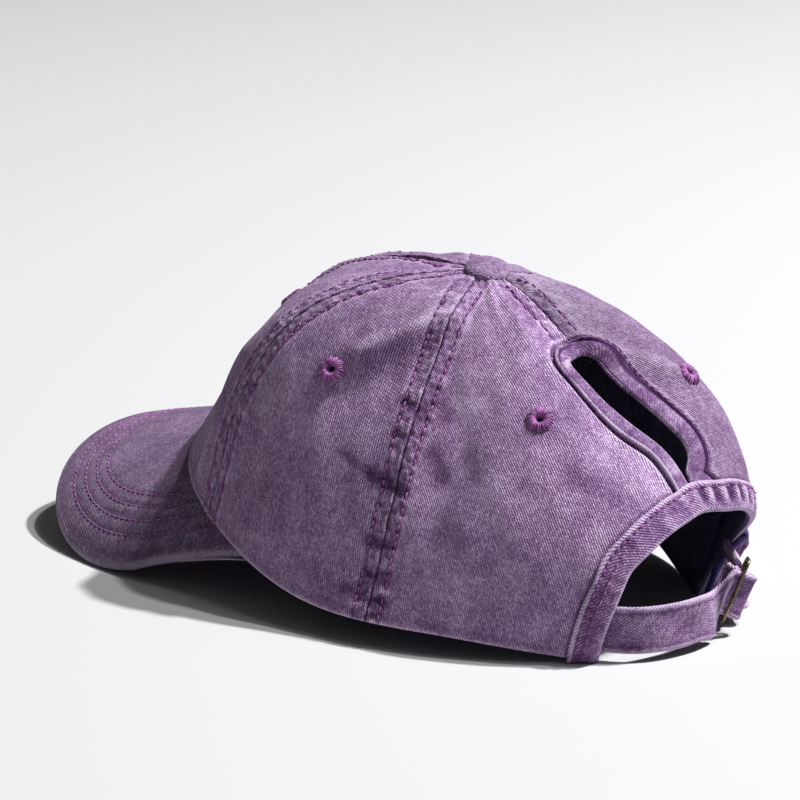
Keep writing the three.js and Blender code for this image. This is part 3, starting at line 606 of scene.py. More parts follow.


# Each look changes some of the cloth's values, and a material's number is the angle of its twill in degrees
# the inside's dark navy is the sweatband's colour; on the panels' inner faces and the tapes' turned in parts,
# the back of the purple cloth, it is painted shade of the crown's inside
insideLook = {
    "dark": (0.022, 0.018, 0.042), "middle": (0.062, 0.052, 0.110), "light": (0.13, 0.11, 0.21),
    "clouds": 0.3, "patches": 0.3, "specks": 0.4, "lineShade": 0.3, "yarnShade": 0.2,
}
indigoLook = {
    "dark": (0.012, 0.008, 0.055), "middle": (0.05, 0.033, 0.19), "light": (0.16, 0.11, 0.42), "pitch": 0.7,
    "float": 0.9,
}
tapeLook = {
    "dark": (0.055, 0.018, 0.080), "middle": (0.215, 0.110, 0.262), "light": (0.52, 0.40, 0.58),
    "patches": 0.8,
}
slotLook = {**tapeLook, "gain": 0.82, "lineShade": 0.16, "bump": 0.5}
buttonLook = {"gain": 0.85, "lineShade": 0.25, "bump": 0.6}
# the brim is of the crown's cloth, and its gain under 1 is painted shade that darkens the lit brim
brimLook = {
    "gain": 0.62, "pitch": 0.7, "float": 0.7, "lineShade": 0.1, "yarnShade": 0.3, "patches": 0.55,
    "specks": 1.6, "bump": 0.3,
}
# per panel gains on the same cloth are painted light: panels that face away from the lamps are made lighter
# and those that face them darker
panelPaintedLightGain = {
    "front_left": 1.15, "side_left": 1.18, "back_left": 1.3, "back_right": 0.86, "side_right": 0.95,
    "front_right": 1.0,
}
panelTwill = {}
for name, gain in panelPaintedLightGain.items():
    panelTwill[name] = twillMaterial("washed_twill_" + name, 105, {"gain": gain})
brimTwill = twillMaterial("washed_twill_brim", 60, brimLook)
buttonTwill = twillMaterial("washed_twill_button", 60, buttonLook)
tapeTwill = twillMaterial("washed_twill_tape", 45, tapeLook)
slotTwill = twillMaterial("washed_twill_slot", 50, slotLook)
strapTwill = twillMaterial("washed_twill_strap", 40, tapeLook)
insideCloth = twillMaterial("inside_cloth", 105, insideLook, sheen=0.02)
indigoTape = twillMaterial("indigo_tape", 80, indigoLook, sheen=0.1)
seamThread = threadMaterial("seam_thread", (0.10, 0.012, 0.118), (0.43, 0.12, 0.44))
darkThread = threadMaterial("dark_thread", (0.05, 0.012, 0.06), (0.24, 0.09, 0.26))
embroideryThread = threadMaterial("embroidery_thread", (0.05, 0.006, 0.065), (0.52, 0.15, 0.53))
print("materials made")

# Crown panels. A row of three numbers is a bell: its height, its middle in millimetres and its width
panelForm = {
    "rows": 190, "lowRows": (0.0015, 0.003, 0.0055),
    "closeRows": ((0.236, 0.28, 14), (0.331, 0.362, 8), (0.584, 0.612, 14)), "dense": 97,
    "edgeZone": 6.6, "edgeColumns": 18, "innerColumns": 58, "cutZone": 12.0, "cutColumns": 30,
    "zoneShare": 0.45, "halfGap": 0.05, "stitchAt": 4.8, "stitchesTo": 0.96, "backSeam": (0.64, 0.68),
    "pad": 0.35, "padFades": (4.6, 5.7), "pucker": 0.36, "crumple": 0.16,
    "puckerReach": ((1, 4.8, 1.7), (0.5, 2.2, 1.5)), "stitchGroove": (-0.38, 4.8, 0.5),
    "stitchRipple": (0.45, 4.8, 0.65), "stitchShades": ((-0.55, 4.8, 0.65), (0.35, 6.2, 0.8)),
    "puckerShade": 0.5, "crumpleShade": 0.3, "padShade": -0.12,
    "upperStep": (0.3, 0.3, 1.2), "upperShade": (0.4, 0.5, 0.4), "upperRipple": (0.5, 0.5, 0.4),
    "lowerStep": (-0.45, 0.2, 0.4), "lowerShade": (-1.5, 0.2, 0.4),
    "slotRelief": ((-0.8, 6.2, 0.55), (0.4, 7.7, 0.9)), "slotShades": ((-1.3, 6.2, 0.7), (0.5, 7.7, 0.8)),
    "archRelief": (0.35, 10.0, 1.2), "archShade": (-0.8, 9.2, 0.6),
    "hemShades": ((0.9, 0, 0.9), (-0.25, 2.6, 1.2)), "hemRound": 0.7, "hemDrop": 0.5,
    "toneLimit": 1.6, "innerRelief": 0.2, "holeRadius": 2.3,
}
# Marks on the panels, each a line from one place to another, its width in millimetres, a tone, and a lift
# of the cloth. The tone is mostly painted shade in dents and creases that sink and painted highlight on
# ridges that rise, partly wash marks
shadeAndWashMarks = [
    {"from": (99.5, 0.475), "to": (107.5, 0.462), "size": 2.2, "tone": -1.3, "lift": -0.5},
    {"from": (97.5, 0.305), "to": (106.5, 0.29), "size": 2.2, "tone": -1.3, "lift": -0.5},
    {"from": (89, 0.315), "to": (97, 0.30), "size": 1.6, "tone": -0.4, "lift": -0.15},
    {"from": (101, 0.175), "to": (106.5, 0.168), "size": 2.2, "tone": -1.0, "lift": -0.4},
    {"from": (103, 0.105), "to": (108, 0.10), "size": 2.0, "tone": -1.1, "lift": -0.4},
    {"from": (99, 0.06), "to": (108, 0.05), "size": 2.0, "tone": -0.8, "lift": -0.3},
    {"from": (111, 0.50), "to": (114.5, 0.47), "size": 3.6, "tone": -0.9, "lift": -0.3},
    {"from": (113, 0.38), "to": (116.5, 0.335), "size": 3.2, "tone": -1.0, "lift": -0.3},
    {"from": (81, 0.545), "to": (104, 0.735), "size": 2.4, "tone": 0.7, "lift": 0.5},
    {"from": (84, 0.53), "to": (101, 0.66), "size": 5.0, "tone": -0.35, "lift": -0.1},
    {"from": (150, 0.36), "to": (160, 0.30), "size": 5.0, "tone": -0.6, "lift": -0.2},
    {"from": (191, 0.6), "to": (203, 0.51), "size": 1.8, "tone": 0.6, "lift": 0.5},
    {"from": (57, 0.04), "to": (56, 0.42), "size": 1.6, "tone": -0.7, "lift": -0.5},
    {"from": (52, 0.05), "to": (50, 0.45), "size": 2.2, "tone": 0.5, "lift": 0.5},
    # painted light: brightens the slope beside the back seam near the top, which the lamps leave dark
    {"from": (192, 0.70), "to": (204, 0.90), "size": 9.0, "tone": 0.9, "lift": 0.0},
    {"from": (168, 0.72), "to": (160, 0.86), "size": 7.0, "tone": -0.5, "lift": 0.0},
]
edgeScale = np.array([1.7, 150.0])  # rough millimetres for a degree of turn and for the whole climb
slotFeet = ((179.3, 0.302), (184.6, 0.300))  # where the ends of the slot's binding go under the arch's


def wholeEdge(low, high, count, feet=()):
    # up the left cut edge, over the top and down the right one, from one foot to the other
    climb = np.array(backEdges["climb"])
    keep = (climb >= low) & (climb <= high)
    left = np.stack([np.array(backEdges["left"])[keep], climb[keep]], -1)
    right = np.stack([np.array(backEdges["right"])[keep], climb[keep]], -1)[::-1]
    if np.allclose(left[-1], right[0]):
        right = right[1:]
    path = np.concatenate([feet[:1], left, right, feet[1:]]) if feet else np.concatenate([left, right])
    return splineThrough(path * edgeScale, count) / edgeScale


archEdge = wholeEdge(0, backEdges["archTop"], 320)
slotEdge = wholeEdge(backEdges["slotFoot"], 1, 300, slotFeet)
archLine = crownSmooth(archEdge[:, 0], archEdge[:, 1])
slotLine = crownSmooth(slotEdge[:, 0], slotEdge[:, 1])


def rowShares(back):
    # even rows, with more at the rim, and on the back panels where the arch and the slot end, so that the cut
    # edge turns in small steps
    rows = [np.linspace(0, 1, panelForm["rows"]), panelForm["lowRows"]]
    if back:
        rows += [np.linspace(*row) for row in panelForm["closeRows"]]
    return np.unique(np.round(np.concatenate(rows), 5))


def seamPucker(length, seed):
    # ripples along a seam: three sines of unlike pitch whose sizes swell and fade
    swell = 0.6 + 0.4 * np.sin(length / 9.7 + seed * 1.9)
    ripple = np.sin(length / 0.82 + seed + 1.4 * np.sin(length / 6.1 + seed))
    slower = 0.5 * np.sin(length / 1.9 + 2.6 * seed) + 0.35 * np.sin(length / 4.1 - seed)
    return swell * (0.6 * ripple + slower)


def crumpleWave(across, length, seed):
    # small creases: products of slanting sines
    first = np.sin(length / 0.62 + 1.1 * across + 3 * seed) * np.sin(length / 1.7 - 0.8 * across + seed)
    return first + 0.7 * np.sin(length / 1.1 - 1.7 * across + 2 * seed) * np.sin(length / 2.9 + 0.5 * across)


def seamRelief(distance, length, scale, seed, upper):
    # across a seam: a step down to the lower panel with a thin raised edge on the upper one, a padded and
    # crumpled band out to the stitches, a groove under them, and puckers along it. Its tone is painted
    # shade in the groove, the step and the troughs of puckers and crumples, painted highlight on their
    # crests, and a pale line on the upper edge that is painted highlight and wear
    form = panelForm
    near = distance / scale
    band = 1 - smoothStep(*form["padFades"], near)
    ripple, crumple = seamPucker(length, seed), crumpleWave(near, length, seed)
    puckers = ripple * bells(near, *form["puckerReach"])
    relief = form["pad"] * band + bells(near, form["stitchGroove"])
    relief = relief + form["pucker"] * puckers + form["crumple"] * crumple * band
    tone = ripple * bells(near, form["stitchRipple"]) + bells(near, *form["stitchShades"])
    tone = tone + form["puckerShade"] * puckers + (form["crumpleShade"] * crumple + form["padShade"]) * band
    if upper:
        # a pale line on the upper panel's edge: painted highlight and wear
        paleEdge = bells(near, form["upperShade"]) + ripple * bells(near, form["upperRipple"])
        return relief + bells(near, form["upperStep"]), tone + paleEdge
    return relief + bells(near, form["lowerStep"]), tone + bells(near, form["lowerShade"])


def panelRelief(index, back, smooth, place, width, isSeam):
    # the sum of what lies on a panel: the bands of its two seams, the bells beside slot and arch, the rounded
    # hem with a pale edge and a darker band above it, and the marks
    form = panelForm
    up = runLength(smooth.swapaxes(0, 1)).swapaxes(0, 1)
    relief, tone = np.zeros(place.shape), np.zeros(place.shape)
    scale = np.minimum(1, form["zoneShare"] * width / form["edgeZone"])
    for side, distance in ((0, place - form["halfGap"]), (1, width + form["halfGap"] - place)):
        seed = 1.3 * index + 2.2 * side + 0.7
        part, shade = seamRelief(distance, up[:, [-side]], scale, seed, side == 1)
        relief = relief + part * isSeam[side][:, None]
        tone = tone + shade * isSeam[side][:, None]
    if back:
        fromSlot, fromArch = pathDistance(smooth, slotLine), pathDistance(smooth, archLine)
        relief = relief + bells(fromSlot, *form["slotRelief"]) + bells(fromArch, form["archRelief"])
        # painted shadow in the groove beside each tape's raised edge, and painted highlight on the ridge
        # beyond
        tone = tone + bells(fromSlot, *form["slotShades"]) + bells(fromArch, form["archShade"])
    relief = relief - form["hemDrop"] * np.clip(1 - up / form["hemRound"], 0, 1) ** 2
    tone = tone + bells(up, *form["hemShades"])
    for mark in shadeAndWashMarks:
        away = segmentDistance(smooth, crownSmooth(*mark["from"]), crownSmooth(*mark["to"]))
        tone = tone + mark["tone"] * bump(away, 0, mark["size"])
        relief = relief + mark["lift"] * bump(away, 0, mark["size"])
    return relief, np.clip(tone, -form["toneLimit"], form["toneLimit"])


def drawHole(outer, inner, at):
    # the hole under an eyelet: four by four quads are left out, and the places round them are drawn to a
    # circle on both sides of the wall
    centre, out = crownPoint(*at), crownSlopes(*np.array(at))[2]
    near = np.linalg.norm(outer - centre, axis=-1)
    row, column = np.unravel_index(near.argmin(), near.shape)
    openFaces = np.zeros((outer.shape[0] - 1, outer.shape[1] - 1), bool)
    openFaces[row - 2:row + 2, column - 2:column + 2] = True
    steps, low, high = np.arange(-2, 3), np.full(4, -2), np.full(4, 2)
    ring = np.concatenate([
        np.stack([low, steps[:-1]], -1), np.stack([steps[:-1], high], -1),
        np.stack([high, steps[:0:-1]], -1), np.stack([steps[:0:-1], low], -1)]) + (row, column)
    for grid, drop in ((outer, 0.0), (inner, crownShape["wall"])):
        spokes = grid[ring[:, 0], ring[:, 1]] - centre
        spokes = unit(spokes - (spokes @ out)[:, None] * out)
        grid[ring[:, 0], ring[:, 1]] = centre - out * drop + spokes * panelForm["holeRadius"]
    return openFaces, ring


def panelPart(index):
    # rows between the panel's two edges, with places measured along each row: close together in a zone
    # beside each edge, even between the zones. The inner side lies one wall further in. It also gives the
    # two lines of stitches and the cut size, as wide as the widest row and as long as the middle
    form, name = panelForm, crownShape["panelNames"][index]
    cutSide = {"back_left": 1, "back_right": 0}.get(name)
    back = cutSide is not None
    shares = rowShares(back)
    edges = [np.full(len(shares), float(crownShape["seamTurns"][index + side])) for side in (0, 1)]
    isSeam = [np.ones(len(shares)), np.ones(len(shares))]
    if back:
        cut = np.interp(shares, backEdges["climb"], backEdges["left" if cutSide else "right"])
        edges[cutSide] = np.where(shares <= backEdges["slotTop"], cut, 180.0)
        isSeam[cutSide] = smoothStep(*form["backSeam"], shares)
    dense = edges[0][:, None] + (edges[1] - edges[0])[:, None] * np.linspace(0, 1, form["dense"])
    length = runLength(crownSmooth(dense, rowClimb(shares[:, None], dense)))
    width = length[:, -1:] - 2 * form["halfGap"]
    kinds = ["cut" if side == cutSide else "edge" for side in (0, 1)]
    zones = [np.minimum(form[kind + "Zone"], form["zoneShare"] * width) for kind in kinds]
    fractions = [np.linspace(0, 1, form[kind + "Columns"] + 1) for kind in kinds]
    middle = np.linspace(0, 1, form["innerColumns"] + 1)[1:-1]
    place = np.concatenate([
        zones[0] * fractions[0], zones[0] + (width - zones[0] - zones[1]) * middle,
        width - zones[1] * fractions[1][::-1]], 1) + form["halfGap"]
    turn = np.stack([np.interp(p, l, t) for p, l, t in zip(place, length, dense)])
    climb = rowClimb(shares[:, None], turn)
    relief, tone = panelRelief(index, back, crownSmooth(turn, climb), place, width, isSeam)
    outer = crownPoint(turn, climb, relief)
    inner = crownPoint(turn, climb, -crownShape["wall"] + np.minimum(relief, 0) * form["innerRelief"])
    inner[0, :, 2] = outer[0, :, 2]
    # the weave runs with the panel: up its middle meridian, and sideways from it along each row
    midTurn = (crownShape["seamTurns"][index] + crownShape["seamTurns"][index + 1]) / 2
    midUp = runLength(crownSmooth(midTurn, rowClimb(shares, np.full(len(shares), midTurn))))
    midPlace = np.array([np.interp(midTurn, t, l) for l, t in zip(length, dense)])
    uv = np.stack([place - midPlace[:, None], np.broadcast_to(midUp[:, None], place.shape)], -1)
    openFaces, ring = drawHole(outer, inner, eyeletPlaces[index])
    part = wallPart(outer, inner, uv, tone, 1, openFaces, ring)
    normals = gridNormals(outer)
    lines = []
    for side, kind in enumerate(kinds):
        column = int(round(form["stitchAt"] / form[kind + "Zone"] * form[kind + "Columns"]))
        column = outer.shape[1] - 1 - column if side else column
        keep = (isSeam[side] > 0.5) & (shares < form["stitchesTo"])
        lines.append((outer[keep, column], normals[keep, column]))
    return part, lines, (width.max(), midUp[-1])


seamLines = []
for index, name in enumerate(crownShape["panelNames"]):
    part, lines, cut = panelPart(index)
    # the inner faces take the dark inside material: painted shade of the crown's inside
    finishes = [panelTwill[name], insideCloth]
    cloth = makePiece(name + "_cloth", [part], finishes, [name + "_panel"])
    declareSheet(cloth, *cut, "stretched", ["brim"] if "front" in name else [])
    seamLines += lines
print("crown panels made")

# Sewing: each stitch is a short grain of thread that rises from the cloth and sinks back into it
stitchForm = {
    "pitch": 2.75, "length": 2.5, "radius": 0.31, "rise": 0.3, "sink": 0.34, "rings": 6, "sides": 5,
    "sway": 0.10, "taper": 0.8, "shadeSwing": 0.35,
}


def stitchPart(line, normals, form=None, start=0.0):
    # along each stitch a runs from -1 to 1: the thread's middle is at rise (1 - a a) - sink a^4 above the
    # cloth and sways sideways with a, and its radius is r sqrt(1 - taper a^4)
    form = {**stitchForm, **(form or {})}
    length = runLength(line)
    count = max(1, int((length[-1] - start - form["length"]) / form["pitch"]))
    middles = start + form["length"] / 2 + form["pitch"] * np.arange(count)
    a = np.linspace(-1, 1, form["rings"])
    spots = middles[:, None] + a * form["length"] / 2
    centre = np.stack([np.interp(spots, length, line[:, k]) for k in range(3)], -1)
    out = unit(np.stack([np.interp(spots, length, normals[:, k]) for k in range(3)], -1))
    along = unit(centre[:, -1:] - centre[:, :1])
    side = unit(np.cross(np.broadcast_to(along, out.shape), out))
    height = form["rise"] * (1 - a ** 2) - form["sink"] * a ** 4
    lean = form["sway"] * np.sin(middles * 7.7)[:, None, None] * a[None, :, None]
    centre = centre + out * height[None, :, None] + side * lean
    radius = form["radius"] * np.sqrt(1 - form["taper"] * a ** 4)
    angle = np.linspace(0, 2 * np.pi, form["sides"], endpoint=False)
    ring = np.cos(angle)[:, None] * side[:, :, None] + np.sin(angle)[:, None] * out[:, :, None]
    points = centre[:, :, None] + radius[None, :, None, None] * ring
    points = np.concatenate([points.reshape(count, -1, 3), centre[:, 0:1], centre[:, -1:]], 1)
    rings, sides = form["rings"], form["sides"]
    number = np.arange(rings * sides).reshape(rings, sides)
    around = np.roll(number, -1, 1)
    quads = np.stack([number[:-1], number[1:], around[1:], around[:-1]], -1).reshape(-1, 4)
    head = np.stack([np.full(sides, rings * sides), number[0], around[0]], -1)
    tail = np.stack([np.full(sides, rings * sides + 1), around[-1], number[-1]], -1)
    uv = np.zeros((count, rings * sides + 2, 2))
    uv[:, :rings * sides, 0] = np.repeat(a * form["length"] / 2, sides) + middles[:, None]
    uv[:, :rings * sides, 1] = np.tile(angle, rings)
    tone = form["shadeSwing"] * np.sin(middles * 3.1)[:, None]
    return repeatPart(points, [quads, head, tail], uv, tone)


crownStitches = [stitchPart(*pair, start=0.6 * k % 1.5) for k, pair in enumerate(seamLines)]
makePiece("crown_stitching", crownStitches, [seamThread])
print("seams sewn")

# What both bindings share: columns across the tape, how far from its two borders it thins and how thin that
# gets, as a share of the square, and the lift of the profile under which it takes the dark inside
# material, painted shade on the part turned into the crown
bindingForm = {"columns": 46, "thinsOver": 0.45, "thinnest": 0.1, "insideUnder": -0.75}


def bindingPart(edge, form, shape, toneOf):
    # a sheet bent to a profile of (distance into the panel, lift over its face) and carried along a cut edge.
    # The sheet's two faces stand off its middle line by its half thickness, which tapers at both borders
    smooth = crownSmooth(edge[:, 0], edge[:, 1])
    along = unit(np.gradient(smooth, axis=0))
    out = crownSlopes(edge[:, 0], edge[:, 1])[2]
    intoPanel = unit(np.cross(out, along))
    line = splineThrough(form["profile"], bindingForm["columns"])
    around, station = runLength(line), runLength(smooth)
    share = station / station[-1]
    spread = shape(np.broadcast_to(line, (len(edge),) + line.shape).copy(), share, station)
    slope = np.gradient(spread, axis=1)
    side = unit(np.stack([-slope[..., 1], slope[..., 0]], -1))
    if side[0, 0, 1] < 0:
        side = -side
    toBorder = np.minimum(around, around[-1] - around) / bindingForm["thinsOver"]
    half = form["halfThickness"] * np.sqrt(np.clip(toBorder, bindingForm["thinnest"], 1))
    foot = edge[:, 1] <= 0
    grids = []
    for way in (1, -1):
        spots = spread + way * side * half[None, :, None]
        turn, climb = placeBeside(edge[:, :1], edge[:, 1:], intoPanel[:, None], spots[..., 0])
        grid = crownPoint(turn, climb, spots[..., 1])
        grid[foot, :, 2] = smooth[foot, 2][:, None]
        grid[..., 2] = np.maximum(grid[..., 2], floorHeight)
        grids.append(grid)
    tone = toneOf(spread, share, station)
    uv = np.stack([np.broadcast_to(station[:, None], tone.shape), np.broadcast_to(around, tone.shape)], -1)
    # the turned in part takes the dark inside material: painted shade
    turnedIn = (line[1:, 1] < bindingForm["insideUnder"]).astype(int)
    return wallPart(grids[0], grids[1], uv, tone, columnSlots=turnedIn), grids[0]


def tapeWidth(profile):
    # the length of the profile, which is how wide the tape is before it is folded
    return runLength(np.array(profile))[-1]


# Binding of the arch: a folded tape with a bead at its outer edge, a stitched groove inside that, and gathers
# over the top. Down the right leg more layers lie under it. Shares run from the left foot to the right one. A
# row of stitches has its distance into the panel, the shares of its start and end, and its own stitch
archForm = {
    "profile": ((8.7, 0.5), (8.35, 0.92), (7.6, 1.0), (7.0, 0.62), (6.0, 0.75), (4.0, 0.9), (1.6, 0.92),
                (0.2, 0.9), (-0.5, 0.62), (-0.85, 0.1), (-0.88, -0.5), (-0.55, -1.15), (0.2, -1.45),
                (1.6, -1.55), (5.2, -1.55)),
    "halfThickness": 0.42, "gathers": (0.42, 0.48, 0.74, 0.80), "gatherPitch": 5.2, "gatherHeight": 0.62,
    "gatherReach": (-0.5, 2.0, 6.6, 8.0), "gatherShade": (1.5, 4, 2.6),
    "ripple": 0.2, "rippleReach": ((1, 7.0, 1.0), (0.5, 2.0, 2.0)), "rippleShade": 0.35,
    "topShades": ((1.3, 8.1, 0.7), (-1.0, 6.9, 0.5), (-0.35, 4.6, 1.6)), "edgeShade": (1.1, -0.75, 0.6),
    "layersFrom": 0.74, "layersTo": 0.90, "layersLift": 5.0, "layerLifts": (0.2, 1.8, 3.3, 4.7),
    "layerRadius": 0.8, "layerFrom": 0.10, "layerTo": 0.15, "layerBeside": 0.4, "layerLow": 0.2,
    "layerWave": 0.12,
    "stitchRows": ((6.9, 0.0, 1.0, {}), (4.2, 0.0, 0.25, {"length": 3.0, "pitch": 3.2, "radius": 0.36}),
                   (1.8, 0.0, 0.13, {})),
}


def archGathers(share, station):
    # cosine folds across the tape, between the named shares of the way round
    wave = np.cos(2 * np.pi * station / archForm["gatherPitch"] + 1.3 * np.sin(station / 5))
    return (hill(share, *archForm["gathers"]) * wave)[:, None]


def archLayers(share):
    # the lift of the tape by the layers under it, which grows smoothly between two shares of the way
    return archForm["layersLift"] * smoothStep(archForm["layersFrom"], archForm["layersTo"], share)


def archShape(spread, share, station):
    # gathers and ripples on the tape's top, then the lift of the layers under all but the turned in part, and
    # two sines that move the outer edge to and fro
    form = archForm
    x, top = spread[..., 0].copy(), spread[..., 1] > 0
    gathers = archGathers(share, station) * hill(x, *form["gatherReach"])
    ripple = seamPucker(station, 3.1)[:, None] * bells(x, *form["rippleReach"])
    spread[..., 1] += (form["gatherHeight"] * gathers + form["ripple"] * ripple) * top
    spread[..., 1] += archLayers(share)[:, None] * smoothStep(-0.6, 0.5, spread[..., 1])
    spread[..., 0] += (0.14 * np.sin(station / 2.1) + 0.12 * np.sin(station / 5.3))[:, None] * (x > 7)
    return spread


def archTone(spread, share, station):
    # bells across the tape's top, the gathers times their own bell, a ripple, and a bell at the folded edge.
    # The top's bells are a pale bead, painted highlight and wear, and painted shade in the stitched groove
    # beside it; the gathers' tone is painted shade and highlight that follow the gathers, and the pale
    # folded edge is painted highlight and wear
    form = archForm
    x, top = spread[..., 0], spread[..., 1] > 0
    gathers = archGathers(share, station) * bells(x, form["gatherShade"])
    ripple = form["rippleShade"] * seamPucker(station, 1.7)[:, None]
    return (bells(x, *form["topShades"]) + gathers + ripple) * top + bells(x, form["edgeShade"])


def legLayers():
    # rolled edges of the layers sewn into the right leg, one over the other: tubes beside the cut edge, each
    # at its own lift, which fades at the top, plus a small sine. None goes under the floor
    form = archForm
    climb = np.linspace(0.0, form["layerTo"], 60)
    turn = np.interp(climb, backEdges["climb"], backEdges["right"])
    out = crownSlopes(turn, climb)[2]
    fade = 1 - smoothStep(form["layerFrom"], form["layerTo"], climb)
    lowest = floorHeight + form["layerRadius"] + 0.001 * np.arange(len(climb))  # rises, so that no step is 0
    parts = []
    for k, lift in enumerate(form["layerLifts"]):
        lift = form["layerLow"] + lift * fade + form["layerWave"] * np.sin(climb * 260 + 2 * k)
        line = crownPoint(turn - form["layerBeside"], climb, lift)
        line[:, 2] = np.maximum(line[:, 2], lowest)
        parts.append(tubePart(line, form["layerRadius"], 10, across=out, tone=0.6 - 0.2 * k))
    return parts


archPart, archGrid = bindingPart(archEdge, archForm, archShape, archTone)
archTape = makePiece("arch_binding_tape", [archPart, *legLayers()], [tapeTwill, insideCloth],
                     ["arch_binding"])
declareSheet(archTape, tapeWidth(archForm["profile"]), runLength(archLine)[-1], "folded", ["back_left_panel"])

# Binding of the slot: on the wearer's left its outer edge is a pale lip, in the upper corner it is folded in
# pleats, and on the right it lies flat against the panel
slotForm = {
    "profile": ((5.5, 0.3), (5.4, 0.72), (5.0, 0.95), (4.6, 0.72), (4.3, 0.32), (3.2, 0.42), (1.8, 0.5),
                (0.6, 0.5), (-0.15, 0.3), (-0.5, -0.15), (-0.52, -0.7), (-0.2, -1.2), (0.7, -1.45),
                (1.8, -1.5), (3.4, -1.5)),
    "halfThickness": 0.36, "corner": (0.36, 0.40, 0.46, 0.50), "right": (0.47, 0.55),
    "pleatPitch": 2.9, "pleatHeight": 0.32, "pleatSink": 0.4, "pleatInner": (-0.2, 0.9),
    "pleatOuter": (4.2, 2.6), "pleatShade": 0.55, "tuckAt": 62.0, "tuckReach": (-4.0, -0.2, -0.2, 0.35),
    "tuckLift": 2.2, "wider": (1.5, 0.62, 0.1), "rightWider": 0.9, "lipDrop": (0.4, 5.0, 0.7),
    "innerDrop": 0.35, "ripple": 0.14, "rippleShade": 0.3,
    "lipShades": ((1.2, 5.1, 0.5), (-0.9, 4.25, 0.4)), "rightShade": (-2.6, 5.6, 0.6),
    "cornerShade": (-3.0, 4.5, 0.6), "edgeShade": (0.8, -0.35, 0.5),
    "stitchRows": ((5.2, 0.56, 0.96, {"radius": 0.22, "rise": 0.12}),),
}


def slotWeights(share):
    # shares of the way that belong to the pleated corner, and to the right side of the slot
    return hill(share, *slotForm["corner"])[:, None], smoothStep(*slotForm["right"], share)[:, None]


def slotPleats(x, station):
    # uneven cosine folds, and one tuck that climbs slowly and falls sharply at its place along the edge
    along = station[:, None] + 0.6 * x
    folds = np.cos(2 * np.pi * along / slotForm["pleatPitch"] + 1.5 * np.sin(along / 2.1))
    folds = folds * (0.55 + 0.45 * np.sin(along / 3.3 + 0.8))
    return folds + slotForm["tuckLift"] * hill(along - slotForm["tuckAt"], *slotForm["tuckReach"])


def slotShape(spread, share, station):
    # pleats in the corner and ripples on the tape's top, which is lower on the right. The tape is moved into
    # the panel on the right, where it is wider and, at its edge, by a sine
    form = slotForm
    corner, right = slotWeights(share)
    x, upper = spread[..., 0].copy(), spread[..., 1] > 0
    inner = smoothStep(*form["pleatOuter"], x) * smoothStep(*form["pleatInner"], x)
    pleats = corner * (form["pleatHeight"] * slotPleats(x, station) - form["pleatSink"])
    lift = (pleats + form["ripple"] * seamPucker(station, 2.3)[:, None]) * inner
    lower = right * (bells(x, form["lipDrop"]) + form["innerDrop"] * smoothStep(2.5, 0.0, x))
    spread[..., 1] += upper * (lift - lower)
    spread[..., 0] += right * form["rightWider"] * smoothStep(0, 5, x) + bells(share, form["wider"])[:, None]
    spread[..., 0] += 0.1 * np.sin(station / 3.1)[:, None] * (x < 1)
    return spread


def slotTone(spread, share, station):
    # bells across the tape's top, other ones on the right and in the corner, the pleats and a ripple, and a
    # bell at the folded edge. The bells on the right, in the corner and inside the lip are painted shadow
    # under the panel's edge and in the dip. The pale lip and folded edge are painted highlight and wear,
    # and the pleats' tone is painted shade and highlight that follow the pleats
    form = slotForm
    corner, right = slotWeights(share)
    x, upper = spread[..., 0], spread[..., 1] > 0
    tone = (1 - right) * bells(x, *form["lipShades"]) + right * bells(x, form["rightShade"])
    pleats = form["pleatShade"] * slotPleats(x, station) * smoothStep(*form["pleatOuter"], x)
    tone = tone + corner * (pleats + bells(x, form["cornerShade"]))
    tone = tone + form["rippleShade"] * seamPucker(station, 0.4)[:, None]
    return tone * upper + bells(x, form["edgeShade"])


slotPart, slotGrid = bindingPart(slotEdge, slotForm, slotShape, slotTone)
slotTape = makePiece("slot_binding_tape", [slotPart], [slotTwill, insideCloth],
                     ["slot_binding"])
declareSheet(slotTape, tapeWidth(slotForm["profile"]), runLength(slotLine)[-1], "folded", ["back_left_panel"])


def profileColumn(profile, columns, inward):
    # the column of a binding whose profile lies nearest to a distance into the panel, on its upper side
    line = splineThrough(profile, columns)
    upper = line[:, 1] > 0
    return int(np.argmin(np.abs(line[:, 0] - inward) + 100 * ~upper))


def bindingStitches(grid, profile, inward, first, last, form):
    # stitches along one column of a binding's upper face, from one share of its rows to another. The normals
    # are turned to point away from the column's middle
    column = profileColumn(profile, grid.shape[1], inward)
    low, high = int(first * (len(grid) - 1)), int(last * (len(grid) - 1)) + 1
    normals = gridNormals(grid)
    centre = grid[:, column].mean(0)
    if (normals[:, column] * (grid[:, column] - centre)).sum() < 0:
        normals = -normals
    return stitchPart(grid[low:high, column], normals[low:high, column], form)


tapeStitches = []
for grid, form in ((archGrid, archForm), (slotGrid, slotForm)):
    for row in form["stitchRows"]:
        tapeStitches.append(bindingStitches(grid, form["profile"], *row))
makePiece("binding_stitching", tapeStitches, [seamThread])
print("bindings made")

